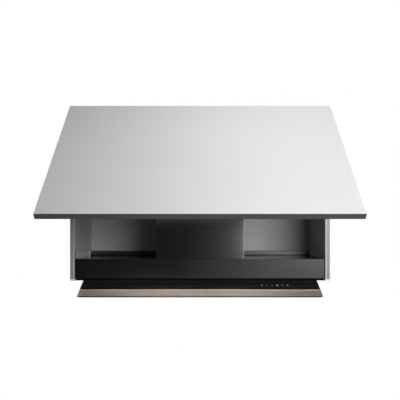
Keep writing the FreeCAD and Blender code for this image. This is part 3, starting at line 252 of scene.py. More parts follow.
class Paint:
    """A material under construction, whose values and links go to its main shader."""

    def __init__(self, name, **values):
        self.material = bpy.data.materials.new(name)
        self.material.use_nodes = True
        self.tree = self.material.node_tree
        self.shader = self.tree.nodes["Principled BSDF"]
        self.place = self.node("ShaderNodeTexCoord", output="Object")
        self.wear(**values)

    def node(self, kind, settings=None, values=None, output=0):
        """Adds a node with its settings first, then the values or links of its sockets."""
        made = self.tree.nodes.new(kind)
        for key, value in (settings or {}).items():
            if key == "stops":
                ramp = made.color_ramp
                while len(ramp.elements) < len(value):
                    ramp.elements.new(0.5)
                for element, (place, colour) in zip(ramp.elements, value):
                    element.position = place
                    element.color = (*colour, 1.0) if hasattr(colour, "__len__") else (colour,) * 3 + (1.0,)
            else:
                setattr(made, key, value)
        for key, value in (values or {}).items():
            self.feed(made.inputs[key], value)
        return Wire(self, made.outputs[output])

    def feed(self, socket, value):
        if isinstance(value, Wire):
            self.tree.links.new(value.socket, socket)
        elif hasattr(value, "__len__") and len(value) == 3 and socket.type == "RGBA":
            socket.default_value = (*value, 1.0)
        else:
            socket.default_value = value

    def wear(self, **values):
        """Sets the main shader's sockets, named in lower case with underscores."""
        names = {socket.name.lower().replace(" ", "_"): socket for socket in self.shader.inputs}
        for key, value in values.items():
            self.feed(names[key], value)
        return self

    def placed(self, scale=(1, 1, 1), turn=0.0, centre=(0, 0, 0)):
        """Object coordinates turned about X by turn round centre, then scaled."""
        moved = self.node(
            "ShaderNodeVectorMath", {"operation": "SUBTRACT"}, {0: self.place, 1: tuple(centre)}
        )
        return self.node(
            "ShaderNodeMapping", {"vector_type": "POINT"},
            {"Vector": moved, "Rotation": (turn, 0.0, 0.0), "Scale": tuple(scale)},
        )

    def along(self, axis, vector=None):
        return self.node("ShaderNodeSeparateXYZ", values={0: vector or self.place}, output="XYZ".index(axis))

    def noise(self, scale, vector=None, detail=3.0, roughness=0.5):
        return self.node(
            "ShaderNodeTexNoise", {"noise_dimensions": "3D"},
            {"Vector": vector or self.place, "Scale": scale, "Detail": detail, "Roughness": roughness},
        )

    def spread(self, value, low, high, low_to=0.0, high_to=1.0):
        """A value stretched from one range to another and kept within it."""
        return self.node(
            "ShaderNodeMapRange", {"clamp": True},
            {"Value": value, "From Min": low, "From Max": high, "To Min": low_to, "To Max": high_to},
        )

    def blend(self, share, first, second):
        mix = self.node("ShaderNodeMix", {"data_type": "RGBA"}, output=2)
        inputs = mix.socket.node.inputs
        self.feed(inputs[0], share)
        self.feed(inputs[6], first)
        self.feed(inputs[7], second)
        return mix

    def grain(self, height, strength, distance=0.1 * MM):
        bump = self.node(
            "ShaderNodeBump", values={"Strength": strength, "Distance": distance, "Height": height}
        )
        return self.wear(normal=bump)


class Sky(Paint):
    """The world under construction, whose place is the direction looked in."""

    def __init__(self, name):
        self.world = bpy.data.worlds.new(name)
        self.world.use_nodes = True
        self.tree = self.world.node_tree
        self.place = self.node("ShaderNodeTexCoord", output="Generated")


def shade(colour, factor):
    return tuple(channel * factor for channel in colour)


# ---- finishes ----
def white_lacquer():
    """Satin lacquer on the front, with painted shade, a dark grey, on the end that faces down."""
    white = tuple(colours().lacquer)
    paint = Paint("white_lacquer", roughness=0.42, specular_ior_level=0.35)
    closed = paint.placed(turn=FLAP_OPENING, centre=HINGE)
    foot = closed_box("flap_panel", HINGE, -FLAP_OPENING)[0].z - HINGE.z
    # Painted shade: the end that faces down is coloured dark grey for the shade it lies in.
    painted_end_shade = paint.along("Z", closed) < (foot + FLAP_PAINTED_SHADE)
    cloud = paint.spread(paint.noise(3.0), 0.35, 0.65)
    face = paint.blend(cloud, shade(white, 0.985), white)
    paint.wear(base_color=paint.blend(painted_end_shade, face, (0.075, 0.079, 0.076)))
    return paint.grain(paint.noise(900.0, detail=1.0), 0.02).material


def grey_laminate():
    """Melamine board of the cabinet."""
    grey = tuple(colours().carcass)
    paint = Paint("grey_laminate", specular_ior_level=0.3)
    cloud = paint.spread(paint.noise(5.0, detail=4.0), 0.3, 0.7)
    fleck = paint.spread(paint.noise(700.0, detail=1.0), 0.4, 0.6)
    paint.wear(
        base_color=paint.blend(cloud * 0.6 + fleck * 0.4, shade(grey, 0.96), shade(grey, 1.03)),
        roughness=0.46 + 0.06 * cloud,
    )
    return paint.grain(paint.noise(1400.0, detail=2.0), 0.08).material


def edge_tape_finish():
    """Tape on the front edges: a darker outer part and a paler inner bead, whose paleness is a painted
    highlight of the edge's rounding.
    """
    paint = Paint("edge_tape", roughness=0.38, specular_ior_level=0.4)
    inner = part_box("side_panel_right")[0].x
    # Painted highlight: the inner bead is coloured paler where the edge's rounding catches the light.
    painted_tape_highlight = paint.along("X").size() < (inner + sizes().edge_bead)
    streak = paint.spread(paint.noise(1.0, paint.placed(scale=(900, 900, 12))), 0.3, 0.7)
    outer = paint.blend(streak, (0.27, 0.26, 0.27), (0.30, 0.29, 0.30))
    paint.wear(base_color=paint.blend(painted_tape_highlight, outer, (0.45, 0.435, 0.45)))
    return paint.grain(streak, 0.05).material


def white_edge():
    """White capping at the feet of the cabinet sides."""
    paint = Paint("white_edge", roughness=0.35)
    cloud = paint.spread(paint.noise(60.0), 0.3, 0.7)
    paint.wear(base_color=paint.blend(cloud, (0.86, 0.86, 0.86), (0.92, 0.92, 0.92)))
    return paint.material


def enamel(name, colour, roughness=0.36, specular=0.5, unevenness=0.06, top=None):
    """Baked enamel with a fine powder texture, slightly uneven, and glossy above the level top."""
    # Painted light: the warm specular tint gives the enamel's reflections the warm colour of the lamps.
    paint = Paint(name, specular_ior_level=specular, specular_tint=(1.0, 0.985, 0.955))
    cloud = paint.spread(paint.noise(7.0, detail=4.0), 0.3, 0.7)
    gloss = roughness - unevenness / 2 + unevenness * cloud
    if top is not None:
        gloss = gloss - (roughness - BODY_TOP_ROUGHNESS) * (paint.along("Z") > top)
    paint.wear(
        base_color=paint.blend(cloud, shade(colour, 0.85), shade(colour, 1.2)), roughness=gloss
    )
    return paint.grain(paint.noise(1600.0, detail=2.0), 0.12, 0.05 * MM).material


def black_glass():
    """Black-backed glass with a printed black border and a paler band at the rear that is a painted
    reflection.
    """
    paint = Paint("black_glass", specular_ior_level=0.5, coat_weight=0.15, coat_roughness=0.03)
    low, high = closed_box("visor_glass", VISOR_PIVOT, VISOR_OPENING)
    closed = paint.placed(turn=-VISOR_OPENING, centre=VISOR_PIVOT)
    ends = paint.along("X").size() > (high.x - GLASS_SIDE_BORDER)
    front = paint.along("Y", closed) < (low.y - VISOR_PIVOT.y + GLASS_FRONT_BORDER)
    border = ends.or_else(front)
    smear = paint.spread(paint.noise(14.0, paint.placed(scale=(1, 3, 3)), detail=5.0), 0.35, 0.7)
    # Painted reflection: the pane's rear band is coloured paler than the rest.
    rear = high.y - VISOR_PIVOT.y - GLASS_REAR_REFLECTION
    far = paint.spread(paint.along("Y", closed), rear - GLASS_REFLECTION_FADE, rear + GLASS_REFLECTION_FADE)
    pane = paint.blend(far, (0.032, 0.0325, 0.033), (0.068, 0.066, 0.065))
    paint.wear(
        base_color=paint.blend(border, pane, (0.003, 0.003, 0.003)),
        roughness=0.09 + 0.06 * smear,
    )
    return paint.material


def brushed(name, colour, metallic, roughness, strength=0.25, turn=0.0, painted_highlight=None):
    """Metal brushed along X; the part that the given mask chooses gets a painted highlight, a brighter tone.
    """
    paint = Paint(name, metallic=metallic, specular_ior_level=0.5)
    stretched = paint.placed(scale=(4, 2600, 2600), turn=turn)
    lines = paint.noise(1.0, stretched, detail=4.0, roughness=0.65)
    stroke = paint.spread(lines, 0.3, 0.7)
    cloud = paint.spread(paint.noise(6.0), 0.3, 0.7)
    tone = paint.blend(stroke, shade(colour, 0.86), shade(colour, 1.1))
    if painted_highlight is not None:
        # Painted highlight: the chosen part is coloured brighter than the brushed metal round it.
        tone = paint.blend(painted_highlight(paint), tone, shade(colour, 1.3))
    paint.wear(
        base_color=tone,
        roughness=roughness - 0.05 + 0.08 * stroke + 0.04 * cloud,
    )
    return paint.grain(lines, strength, 0.05 * MM).material


def lip_highlight_bead(paint):
    """The bead of the visor's lip, next to the glass, made bright by a painted highlight."""
    rear = closed_box("visor_lip", VISOR_PIVOT, VISOR_OPENING)[1].y - VISOR_PIVOT.y
    closed = paint.placed(turn=-VISOR_OPENING, centre=VISOR_PIVOT)
    return paint.along("Y", closed) > (rear - sizes().lip_highlight_bead)


def plated(name, colour, roughness=0.34):
    """Zinc, or steel given a polish, with a faint crystal pattern."""
    paint = Paint(name, metallic=0.9)
    cells = paint.node(
        "ShaderNodeTexVoronoi", {"feature": "F1"}, {"Vector": paint.place, "Scale": 260.0},
    )
    cloud = paint.spread(paint.noise(55.0, detail=5.0), 0.3, 0.7)
    paint.wear(
        base_color=paint.blend(cloud, shade(colour, 0.82), colour),
        roughness=roughness - 0.06 + 0.12 * cells + 0.06 * cloud,
    )
    return paint.grain(cloud, 0.06).material


def galvanised(name, colour):
    """Galvanised sheet with its spangle."""
    paint = Paint(name, metallic=0.3, specular_ior_level=0.4)
    cells = paint.node(
        "ShaderNodeTexVoronoi", {"feature": "F1"}, {"Vector": paint.place, "Scale": 140.0},
        output="Color",
    )
    facet = paint.spread(paint.along("X", cells), 0.0, 1.0)
    paint.wear(
        base_color=paint.blend(facet, shade(colour, 0.9), shade(colour, 1.06)),
        roughness=0.36 + 0.10 * facet,
    )
    return paint.material


def moulded(name, colour, roughness=0.5):
    """Moulded plastic or rubber with a fine spark-eroded texture."""
    paint = Paint(name, specular_ior_level=0.4)
    cloud = paint.spread(paint.noise(20.0, detail=4.0), 0.3, 0.7)
    paint.wear(
        base_color=paint.blend(cloud, shade(colour, 0.9), shade(colour, 1.08)),
        roughness=roughness - 0.04 + 0.08 * cloud,
    )
    return paint.grain(paint.noise(800.0, detail=2.0), 0.15, 0.05 * MM).material


def clear_rubber():
    """Soft see-through bumper."""
    paint = Paint("clear_rubber", base_color=(0.9, 0.9, 0.9), transmission_weight=0.95, ior=1.38)
    haze = paint.spread(paint.noise(300.0), 0.3, 0.7)
    return paint.wear(roughness=0.12 + 0.1 * haze).material


def lamp_glass():
    """Frosted lamp glass over a warm light source."""
    paint = Paint("lamp_glass", base_color=(0.85, 0.83, 0.78), roughness=0.35, specular_ior_level=0.5)
    frost = paint.spread(paint.noise(400.0, detail=3.0), 0.3, 0.7)
    paint.wear(emission_color=(1.0, 0.78, 0.52), emission_strength=1.6, roughness=0.3 + 0.15 * frost)
    return paint.grain(frost, 0.1).material


def circuit_board():
    """Green board with its tracks."""
    paint = Paint("circuit_board", specular_ior_level=0.5)
    tracks = paint.node(
        "ShaderNodeTexBrick", {"offset": 0.5},
        {
            "Vector": paint.place, "Scale": 160.0, "Mortar Size": 0.03,
            "Color1": (0.01, 0.09, 0.04, 1), "Color2": (0.012, 0.11, 0.05, 1),
            "Mortar": (0.25, 0.18, 0.05, 1),
        },
    )
    paint.wear(base_color=tracks, roughness=0.35)
    return paint.material


FINISHES = {}


def finish(name):
    """A finish by name, made once."""
    if name not in FINISHES:
        FINISHES[name] = RECIPES[name]()
    return FINISHES[name]


RECIPES = {
    "white_lacquer": white_lacquer,
    "grey_laminate": grey_laminate,
    "edge_tape": edge_tape_finish,
    "white_edge": white_edge,
    "black_enamel": lambda: enamel("black_enamel", tuple(colours().enamel)),
    "body_enamel": lambda: enamel(
        "body_enamel", tuple(colours().enamel), 0.33, 0.32,
        top=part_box("hood_body_shell")[1].z - BODY_TOP_SKIN,
    ),
    "spacer_enamel": lambda: enamel("spacer_enamel", tuple(colours().enamel), 0.34, 0.5),
    "housing_enamel": lambda: enamel("housing_enamel", shade(tuple(colours().enamel), 0.5), 0.15, 2.4, 0.01),
    "visor_black": lambda: enamel("visor_black", (0.005, 0.005, 0.005), 0.5),
    "black_glass": black_glass,
    "champagne_metal": lambda: brushed(
        "champagne_metal", tuple(colours().champagne), 0.35, 0.42, turn=-VISOR_OPENING, painted_highlight=lip_highlight_bead
    ),
    "filter_metal": lambda: brushed("filter_metal", (0.58, 0.58, 0.57), 0.85, 0.36),
    "lamp_ring": lambda: brushed("lamp_ring", (0.6, 0.6, 0.6), 0.9, 0.34),
    "motor_can": lambda: brushed("motor_can", (0.5, 0.5, 0.51), 0.85, 0.42),
    "zinc_plate": lambda: plated("zinc_plate", (0.62, 0.62, 0.60)),
    "screw_zinc": lambda: plated("screw_zinc", (0.66, 0.65, 0.60), 0.3),
    "strut_rod_steel": lambda: plated("strut_rod_steel", (0.72, 0.72, 0.72), 0.16),
    "strut_black": lambda: enamel("strut_black", (0.012, 0.012, 0.012), 0.35, 0.45),
    "galvanised_sheet": lambda: galvanised("galvanised_sheet", (0.60, 0.60, 0.60)),
    "black_plastic": lambda: moulded("black_plastic", (0.03, 0.03, 0.03)),
    "filter_pull_black": lambda: moulded("filter_pull_black", (0.025, 0.025, 0.025), 0.55),
    "clear_rubber": clear_rubber,
    "lamp_glass": lamp_glass,
    "circuit_board": circuit_board,
    "lip_front": lambda: brushed("lip_front", (0.055, 0.055, 0.055), 0.2, 0.5, strength=0.1),
    # Painted shade: a flat near-black for the frame under the body and the strips that stand for shade in
    # the gaps.
    "seal_black": lambda: enamel("seal_black", (0.0025, 0.0025, 0.0025), 0.85, 0.05),
    "filter_weave": lambda: plated("filter_weave", (0.62, 0.62, 0.61), 0.36),
    "symbol_grey": lambda: moulded("symbol_grey", (0.8, 0.8, 0.8), 0.5),
}


# ---- modelling steps ----
# Points nearer to each other than this are one, and a point this near to a plane lies on it.
MERGE_DISTANCE = 0.002 * MM
ON_PLANE = 0.01 * MM
# A direction this much along an axis, of 1, counts as pointing along it.
ALONG = 0.9
# Edges that turn by more than this are rounded, in degrees.
SHARP_TURN = 35.0


def clear_choice():
    if bpy.context.mode != "OBJECT":
        bpy.ops.object.mode_set(mode="OBJECT")
    bpy.ops.object.select_all(action="DESELECT")


def hold(piece):
    """Makes a piece the only chosen one and the active one."""
    clear_choice()
    piece.select_set(True)
    bpy.context.view_layer.objects.active = piece


def settle(piece):
    """Puts a piece's place into its mesh."""
    hold(piece)
    bpy.ops.object.transform_apply(location=True, rotation=True, scale=True)
    return piece


def named(name):
    piece = bpy.context.object
    piece.name = name
    piece.data.name = name
    return settle(piece)


def block(name, low, high):
    """A cube between two corners, as a start."""
    clear_choice()
    low, high = Vector(low), Vector(high)
    bpy.ops.mesh.primitive_cube_add(size=1.0, location=(low + high) / 2, scale=high - low)
    return named(name)


def bar(name, radius, start, end, sides):
    """A round bar from one point to another, as a start."""
    clear_choice()
    start, end = Vector(start), Vector(end)
    way = end - start
    turn = way.to_track_quat("Z", "Y").to_euler()
    bpy.ops.mesh.primitive_cylinder_add(
        vertices=sides, radius=radius, depth=way.length, location=(start + end) / 2, rotation=turn
    )
    return named(name)


def choose(piece, kind, test):
    """Goes into edit mode with the faces or edges for which test holds chosen."""
    hold(piece)
    mesh = piece.data
    for group in (mesh.vertices, mesh.edges, mesh.polygons):
        group.foreach_set("select", [False] * len(group))
    if kind == "faces":
        for face in mesh.polygons:
            face.select = bool(test(face.center, face.normal))
    else:
        for edge in mesh.edges:
            start, end = (mesh.vertices[index].co for index in edge.vertices)
            edge.select = bool(test((start + end) / 2, (end - start).normalized()))
    bpy.context.tool_settings.mesh_select_mode = (False, kind == "edges", kind == "faces")
    bpy.ops.object.mode_set(mode="EDIT")


def everything(centre, way):
    """The test that chooses every face."""
    return True


def done():
    bpy.ops.object.mode_set(mode="OBJECT")


def bevel(piece, width, segments=2, test=None):
    """Bevels chosen edges, or every sharp edge."""
    if test is None:
        hold(piece)
        rounding = piece.modifiers.new("rounding", "BEVEL")
        rounding.width = width
        rounding.segments = segments
        rounding.limit_method = "ANGLE"
        rounding.angle_limit = math.radians(SHARP_TURN)
        rounding.harden_normals = False
        bpy.ops.object.modifier_apply(modifier=rounding.name)
        return piece
    choose(piece, "edges", test)
    bpy.ops.mesh.bevel(offset=width, offset_type="OFFSET", segments=segments, affect="EDGES")
    done()
    return piece


def push(piece, test, step):
    """Draws chosen faces out by a step."""
    choose(piece, "faces", test)
    bpy.ops.mesh.extrude_region_move(TRANSFORM_OT_translate={"value": tuple(step)})
    done()


def inset(piece, test, width, depth=0.0):
    choose(piece, "faces", test)
    bpy.ops.mesh.inset(thickness=width, depth=depth, use_boundary=True, use_even_offset=True)
    done()


def slice_at(piece, point, normal):
    """Cuts new edges across a piece where a plane meets it."""
    choose(piece, "faces", everything)
    bpy.ops.mesh.bisect(plane_co=tuple(point), plane_no=tuple(normal))
    done()


def mend_normals(piece):
    choose(piece, "faces", everything)
    bpy.ops.mesh.remove_doubles(threshold=MERGE_DISTANCE)
    bpy.ops.mesh.normals_make_consistent(inside=False)
    done()


def smooth(piece, angle=32.0):
    """Smooth shading that keeps large faces flat."""
    hold(piece)
    bpy.ops.object.shade_smooth_by_angle(angle=math.radians(angle))
    flat = piece.modifiers.new("flat_faces", "WEIGHTED_NORMAL")
    flat.keep_sharp = True
    bpy.ops.object.modifier_apply(modifier=flat.name)


def merged(name, pieces):
    """Joins pieces into the first one."""
    clear_choice()
    for piece in pieces:
        piece.select_set(True)
    bpy.context.view_layer.objects.active = pieces[0]
    bpy.ops.object.join()
    pieces[0].name = name
    pieces[0].data.name = name
    return pieces[0]


def turned(piece, pivot, angle):
    """Turns a piece that was drawn closed to where it stands at rest."""
    piece.matrix_world = (
        Matrix.Translation(pivot) @ Matrix.Rotation(angle, 4, "X") @ Matrix.Translation(-pivot)
    )
    return settle(piece)


def mirror_copy(piece, name):
    """A copy with its own mesh, mirrored across the middle."""
    hold(piece)
    bpy.ops.object.duplicate()
    twin = bpy.context.object
    twin.name = name
    twin.data.name = name
    twin.scale = (-1.0, 1.0, 1.0)
    settle(twin)
    mend_normals(twin)
    return twin


def softened(node, width, look=None):
    """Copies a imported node, merges its flat faces and rounds its sharp edges."""
    source = frame["nodes"][node]
    body = source.parent.name.split(":")[-1]
    hold(source)
    bpy.ops.object.duplicate()
    twin = bpy.context.object
    bpy.ops.object.parent_clear(type="CLEAR_KEEP_TRANSFORM")
    settle(twin)
    choose(twin, "faces", everything)
    bpy.ops.mesh.remove_doubles(threshold=MERGE_DISTANCE)
    bpy.ops.mesh.dissolve_limited(angle_limit=math.radians(0.5))
    done()
    bevel(twin, width, 2)
    twin.name = node + "_soft"
    twin.data.name = twin.name
    fit(twin, body, SLOTS[node], look, replaced=[node])


def fit(piece, body, slot, look=None, replaced=()):
    """Gives a finished piece its finish, its body and the nodes that it stands for."""
    smooth(piece)
    piece.data.materials.clear()
    piece.data.materials.append(finish(look or slot))
    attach(piece, body)
    if replaced:
        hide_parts(*replaced)


# ---- the pieces ----
SLOTS = {part["node"]: part["material_slot"] for part in frame["record"]["subparts"]}
OWN_LOOKS = {
    "motor_housing": "housing_enamel", "rear_spacer": "spacer_enamel", "hood_body_shell": "body_enamel",
}
SOFT_EDGES = {
    "flap_panel": 0.7, "side_panel": 0.3, "top_panel": 0.3, "rear_rail_upper": 0.3,
    "rear_rail_lower": 0.3, "hood_body_shell": 0.35, "motor_housing": 0.35, "rear_spacer": 0.3,
    "underside_panel": 0.2, "mounting_bracket": 0.2, "visor_bracket": 0.3, "visor_tray": 0.3,
    "control_box": 0.8, "hinge_arm": 0.4, "hinge_leaf": 0.4, "hinge_pin": 0.3,
    "strut_bracket": 0.4, "flap_bracket": 0.4, "strut_cylinder": 0.5, "strut_rod": 0.3,
    "filter_frame": 0.4, "filter_pull": 0.8, "flap_bumpers": 0.8, "outlet_collar": 0.3,
    "outlet_flange": 0.3, "cable_gland": 0.4, "blower_scroll": 0.3, "blower_motor": 0.5,
}


class HOOD_OT_nodes(bpy.types.Operator):
    """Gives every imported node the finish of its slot"""

    bl_idname = "hood.nodes"
    bl_label = "Finish the packed nodes"

    def execute(self, context):
        for node, slot in SLOTS.items():
            mesh = frame["nodes"][node].data
            mesh.materials.clear()
            mesh.materials.append(finish(OWN_LOOKS.get(node, slot)))
        return {"FINISHED"}


class HOOD_OT_softened(bpy.types.Operator):
    """Rounds the sharp edges of boards, sheets and fittings"""

    bl_idname = "hood.softened"
    bl_label = "Rounded edges"

    def execute(self, context):
        for stem, width in SOFT_EDGES.items():
            for node in (stem, stem + "_left", stem + "_right"):
                if node in SLOTS:
                    softened(node, width * MM, OWN_LOOKS.get(node))
        return {"FINISHED"}


class HOOD_OT_filters(bpy.types.Operator):
    """Weaves the filters' expanded metal, two layers deep"""

    bl_idname = "hood.filters"
    bl_label = "Filter mesh"

    def execute(self, context):
        low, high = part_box("filter_mesh_right")
        layers = [
            self.strands(low, high, low.z + STRAND_OUTER, 1, 0.0),
            self.strands(low, high, low.z + STRAND_INNER, -1, 0.0),
            self.strands(low, high, high.z - STRAND_INNER, 1, 0.5),
            self.strands(low, high, high.z - STRAND_OUTER, -1, 0.5),
        ]
        weave = merged("filter_weave_right", layers)
        twin = mirror_copy(weave, "filter_weave_left")
        fit(weave, "filter_right", "filter_metal", "filter_weave", ["filter_mesh_right"])
        fit(twin, "filter_left", "filter_metal", "filter_weave", ["filter_mesh_left"])
        return {"FINISHED"}

    def strands(self, low, high, level, lean, offset):
        """Parallel strands that lean one way, trimmed to the filter's opening."""
        pitch = sizes().strand_pitch
        width = sizes().strand_width
        angle = STRAND_ANGLE * lean
        depth = high.y - low.y
        reach = depth / abs(math.tan(angle))
        count = int((high.x - low.x + reach) / pitch) + 2
        start = low.x - reach + offset * pitch
        half = Vector((width / 2, depth, STRAND_THICKNESS / 2))
        strand = block("strand", -half, half)
        strand.rotation_euler = (0, 0, angle - math.copysign(math.pi / 2, lean))
        strand.location = (start + reach / 2, (low.y + high.y) / 2, level)
        settle(strand)
        row = strand.modifiers.new("row", "ARRAY")
        row.use_relative_offset = False
        row.use_constant_offset = True
        row.constant_offset_displace = (pitch, 0, 0)
        row.count = count
        bpy.ops.object.modifier_apply(modifier=row.name)
        for point, normal in (
            (low, (-1, 0, 0)), (high, (1, 0, 0)), (low, (0, -1, 0)), (high, (0, 1, 0)),
        ):
            choose(strand, "faces", everything)
            bpy.ops.mesh.bisect(
                plane_co=tuple(point), plane_no=normal, clear_outer=True, use_fill=True
            )
            done()
        return strand


class HOOD_OT_lamps(bpy.types.Operator):
    """Models the lamps' rings and lenses"""

    bl_idname = "hood.lamps"
    bl_label = "Lamps"

    def execute(self, context):
        for side in SIDES:
            body = frame["nodes"]["lamp_bezel_" + side].parent.name.split(":")[-1]
            self.ring(side, body)
            self.lens(side, body)
        return {"FINISHED"}

    def disc(self, name, node):
        """A short cylinder that fills a node's box, with its radius."""
        low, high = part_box(node)
        middle = (low + high) / 2
        radius = (high.x - low.x) / 2
        return radius, bar(name, radius, (middle.x, middle.y, low.z), (middle.x, middle.y, high.z), 64)

    def ring(self, side, body):
        radius, ring = self.disc("lamp_ring_" + side, "lamp_bezel_" + side)
        lens_low, lens_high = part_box("lamp_lens_" + side)
        opening = (lens_high.x - lens_low.x) / 2 - LENS_RIM
        choose(ring, "faces", lambda centre, way: abs(way.z) > ALONG)
        bpy.ops.mesh.inset(thickness=radius - opening)
        bpy.ops.mesh.bridge_edge_loops()
        done()
        mend_normals(ring)
        bevel(ring, 0.4 * MM, 3)
        fit(ring, body, "lamp_ring")

    def lens(self, side, body):
        radius, lens = self.disc("lamp_dome_" + side, "lamp_lens_" + side)
        bevel(lens, 0.3 * MM, 2)
        for step in LENS_STEPS:
            inset(lens, lambda centre, way: way.z < -0.98, step * radius, -LENS_STEP_DEPTH)
        fit(lens, body, "lamp_glass", replaced=["lamp_lens_" + side])


class HOOD_OT_cabinet_edges(bpy.types.Operator):
    """Tapes the cabinet's front edges and caps the feet of its sides"""

    bl_idname = "hood.cabinet_edges"
    bl_label = "Cabinet edges"

    def execute(self, context):
        low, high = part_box("side_panel_right")
        tape = sizes().edge_tape
        foot = sizes().foot_edge
        seam = low.x + sizes().edge_bead
        strip = block("edge_tape_right", (low.x, low.y - tape / 2, low.z + foot), (high.x, low.y, high.z))
        slice_at(strip, (seam, 0, 0), (1, 0, 0))
        push(strip, lambda centre, way: way.y < -ALONG and centre.x < seam, (0, -tape / 2, 0))
        bevel(strip, tape / 4, 1)
        lap = low.y - tape / 5
        cap = block("foot_edge_right", (low.x, low.y - tape, low.z - tape), (high.x, high.y, low.z))
        slice_at(cap, (0, lap, 0), (0, 1, 0))
        push(cap, lambda centre, way: way.z > ALONG and centre.y < lap, (0, 0, foot))
        bevel(cap, tape / 4, 1)
        for piece, look in ((strip, "edge_tape"), (cap, "white_edge")):
            twin = mirror_copy(piece, piece.name.replace("right", "left"))
            fit(piece, "cabinet", "grey_laminate", look)
            fit(twin, "cabinet", "grey_laminate", look)
        return {"FINISHED"}


class HOOD_OT_under_frame(bpy.types.Operator):
    """Frames the body's underside in near-black painted shade and fills the gaps round the body with strips
    of painted shade
    """

    bl_idname = "hood.under_frame"
    bl_label = "Frame under the body"

    def execute(self, context):
        low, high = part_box("hood_body_shell")
        pieces = [self.strip(low), self.spacer_seal(low, high), self.side_seal(low, high)]
        pieces.append(mirror_copy(pieces[-1], "side_seal_left"))
        for piece in pieces:
            # Painted shade: these pieces get the near-black that stands for shade.
            fit(piece, "cabinet", "black_enamel", "seal_black")
        return {"FINISHED"}

    def strip(self, low):
        """A thin wall under the body's front, with returns at its ends."""
        left, front = low.x + UNDER_FRAME_STEP, low.y + UNDER_FRAME_STEP
        wall = UNDER_FRAME_WALL
        strip = block("under_frame", (left, front, UNDER_FRAME_FOOT), (-left, front + wall, low.z))
        slice_at(strip, (left + wall, 0, 0), (1, 0, 0))
        slice_at(strip, (-left - wall, 0, 0), (1, 0, 0))
        push(
            strip, lambda centre, way: way.y > ALONG and abs(centre.x) > -left - wall,
            (0, UNDER_FRAME_RETURN, 0),
        )
        return bevel(strip, 0.3 * MM, 1)

    def spacer_seal(self, low, high):
        """A low near-black strip along the foot of the spacer, painted shade in the crease there."""
        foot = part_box("rear_spacer")[0].y
        front = foot - SPACER_SHADE_DEPTH
        shade_strip = block("spacer_seal", (low.x, front, high.z), (high.x, foot, high.z + SPACER_SHADE_HEIGHT))
        return bevel(shade_strip, 0.5 * MM, 2, lambda middle, way: middle.y < front + 0.5 * MM)

    def side_seal(self, low, high):
        """A flat near-black strip over the front of the gap between the body and the cabinet's right side,
        painted shade there.
        """
        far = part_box("mounting_bracket_right")[1]
        shade_strip = block("side_seal_right", (high.x, low.y - SIDE_SHADE_DEPTH, low.z), (far.x, low.y, far.z))
        return bevel(shade_strip, 0.1 * MM, 1)


class HOOD_OT_visor(bpy.types.Operator):
    """Models the visor's lip, glass and touch symbols"""

    bl_idname = "hood.visor"
    bl_label = "Visor"

    def execute(self, context):
        self.lip()
        self.glass()
        self.symbols()
        return {"FINISHED"}

    def lip(self):
        low, high = closed_box("visor_lip", VISOR_PIVOT, VISOR_OPENING)
        plate = self.lip_block("visor_lip_plate", low + Vector((0, LIP_FRONT, 0)), high)
        far = high.y - sizes().lip_highlight_bead
        near = far - LIP_GROOVE_WIDTH
        slice_at(plate, (0, near, 0), (0, 1, 0))
        slice_at(plate, (0, far, 0), (0, 1, 0))
        push(
            plate, lambda middle, way: way.z > ALONG and near < middle.y < far, (0, 0, -LIP_GROOVE_DEPTH)
        )
        bevel(plate, 0.3 * MM, 2)
        turned(plate, VISOR_PIVOT, VISOR_OPENING)
        fit(plate, "visor", "champagne_metal", replaced=["visor_lip"])
        strip = self.lip_block("visor_lip_front", low, Vector((high.x, low.y + LIP_FRONT, high.z)))
        bevel(
            strip, 0.3 * MM, 2,
            lambda middle, way: abs(middle.y - low.y) < ON_PLANE and abs(way.x) > ALONG,
        )
        turned(strip, VISOR_PIVOT, VISOR_OPENING)
        fit(strip, "visor", "champagne_metal", "lip_front")

    def lip_block(self, name, low, high):
        """A bar whose ends slope in below a narrow upright edge."""
        piece = block(name, low, high)
        slice_at(piece, (0, 0, high.z - LIP_SIDE_EDGE), (0, 0, 1))
        choose(piece, "faces", lambda centre, way: way.z < -ALONG)
        shrink = (high.x - LIP_CORNER) / high.x
        bpy.ops.transform.resize(value=(shrink, 1, 1), center_override=(0, 0, low.z))
        done()
        return piece

    def glass(self):
        low, high = closed_box("visor_glass", VISOR_PIVOT, VISOR_OPENING)
        pane = block("visor_glass_pane", low, high)
        bevel(pane, 0.6 * MM, 3, lambda middle, way: abs(middle.z - high.z) < ON_PLANE)
        turned(pane, VISOR_PIVOT, VISOR_OPENING)
        fit(pane, "visor", "black_glass", replaced=["visor_glass"])

    def symbols(self):
        low, high = closed_box("visor_glass", VISOR_PIVOT, VISOR_OPENING)
        first = Vector((SYMBOL_FIRST, low.y + SYMBOL_INSET, high.z))
        step = Vector((SYMBOL_STEP, 0, 0))
        marks = merged(
            "touch_symbols", [self.symbol(index, first + index * step) for index in range(len(SYMBOL_SIDES))]
        )
        turned(marks, VISOR_PIVOT, VISOR_OPENING)
        fit(marks, "visor", "black_glass", "symbol_grey")

    def symbol(self, index, centre):
        """One plain mark: an oval ring or dot, a low diamond, a triangle or a diamond ring."""
        clear_choice()
        bpy.ops.mesh.primitive_circle_add(
            vertices=SYMBOL_SIDES[index], radius=SYMBOL_WIDTH / 2, fill_type="NGON",
            location=centre + Vector((0, 0, SYMBOL_RISE)),
        )
        mark = named("symbol")
        if index in SYMBOL_RINGS:
            inset(mark, everything, SYMBOL_LINE)
            choose(mark, "faces", lambda middle, way: (middle - centre).to_2d().length < 0.2 * MM)
            bpy.ops.mesh.delete(type="FACE")
            done()
        stretch = Vector((1.0, SYMBOL_DEPTH / SYMBOL_WIDTH, 1.0))
        if index in SYMBOL_LOW:
            stretch.y *= SYMBOL_LOW_SHARE
        choose(mark, "faces", everything)
        bpy.ops.transform.resize(value=tuple(stretch), center_override=tuple(centre))
        done()
        return mark


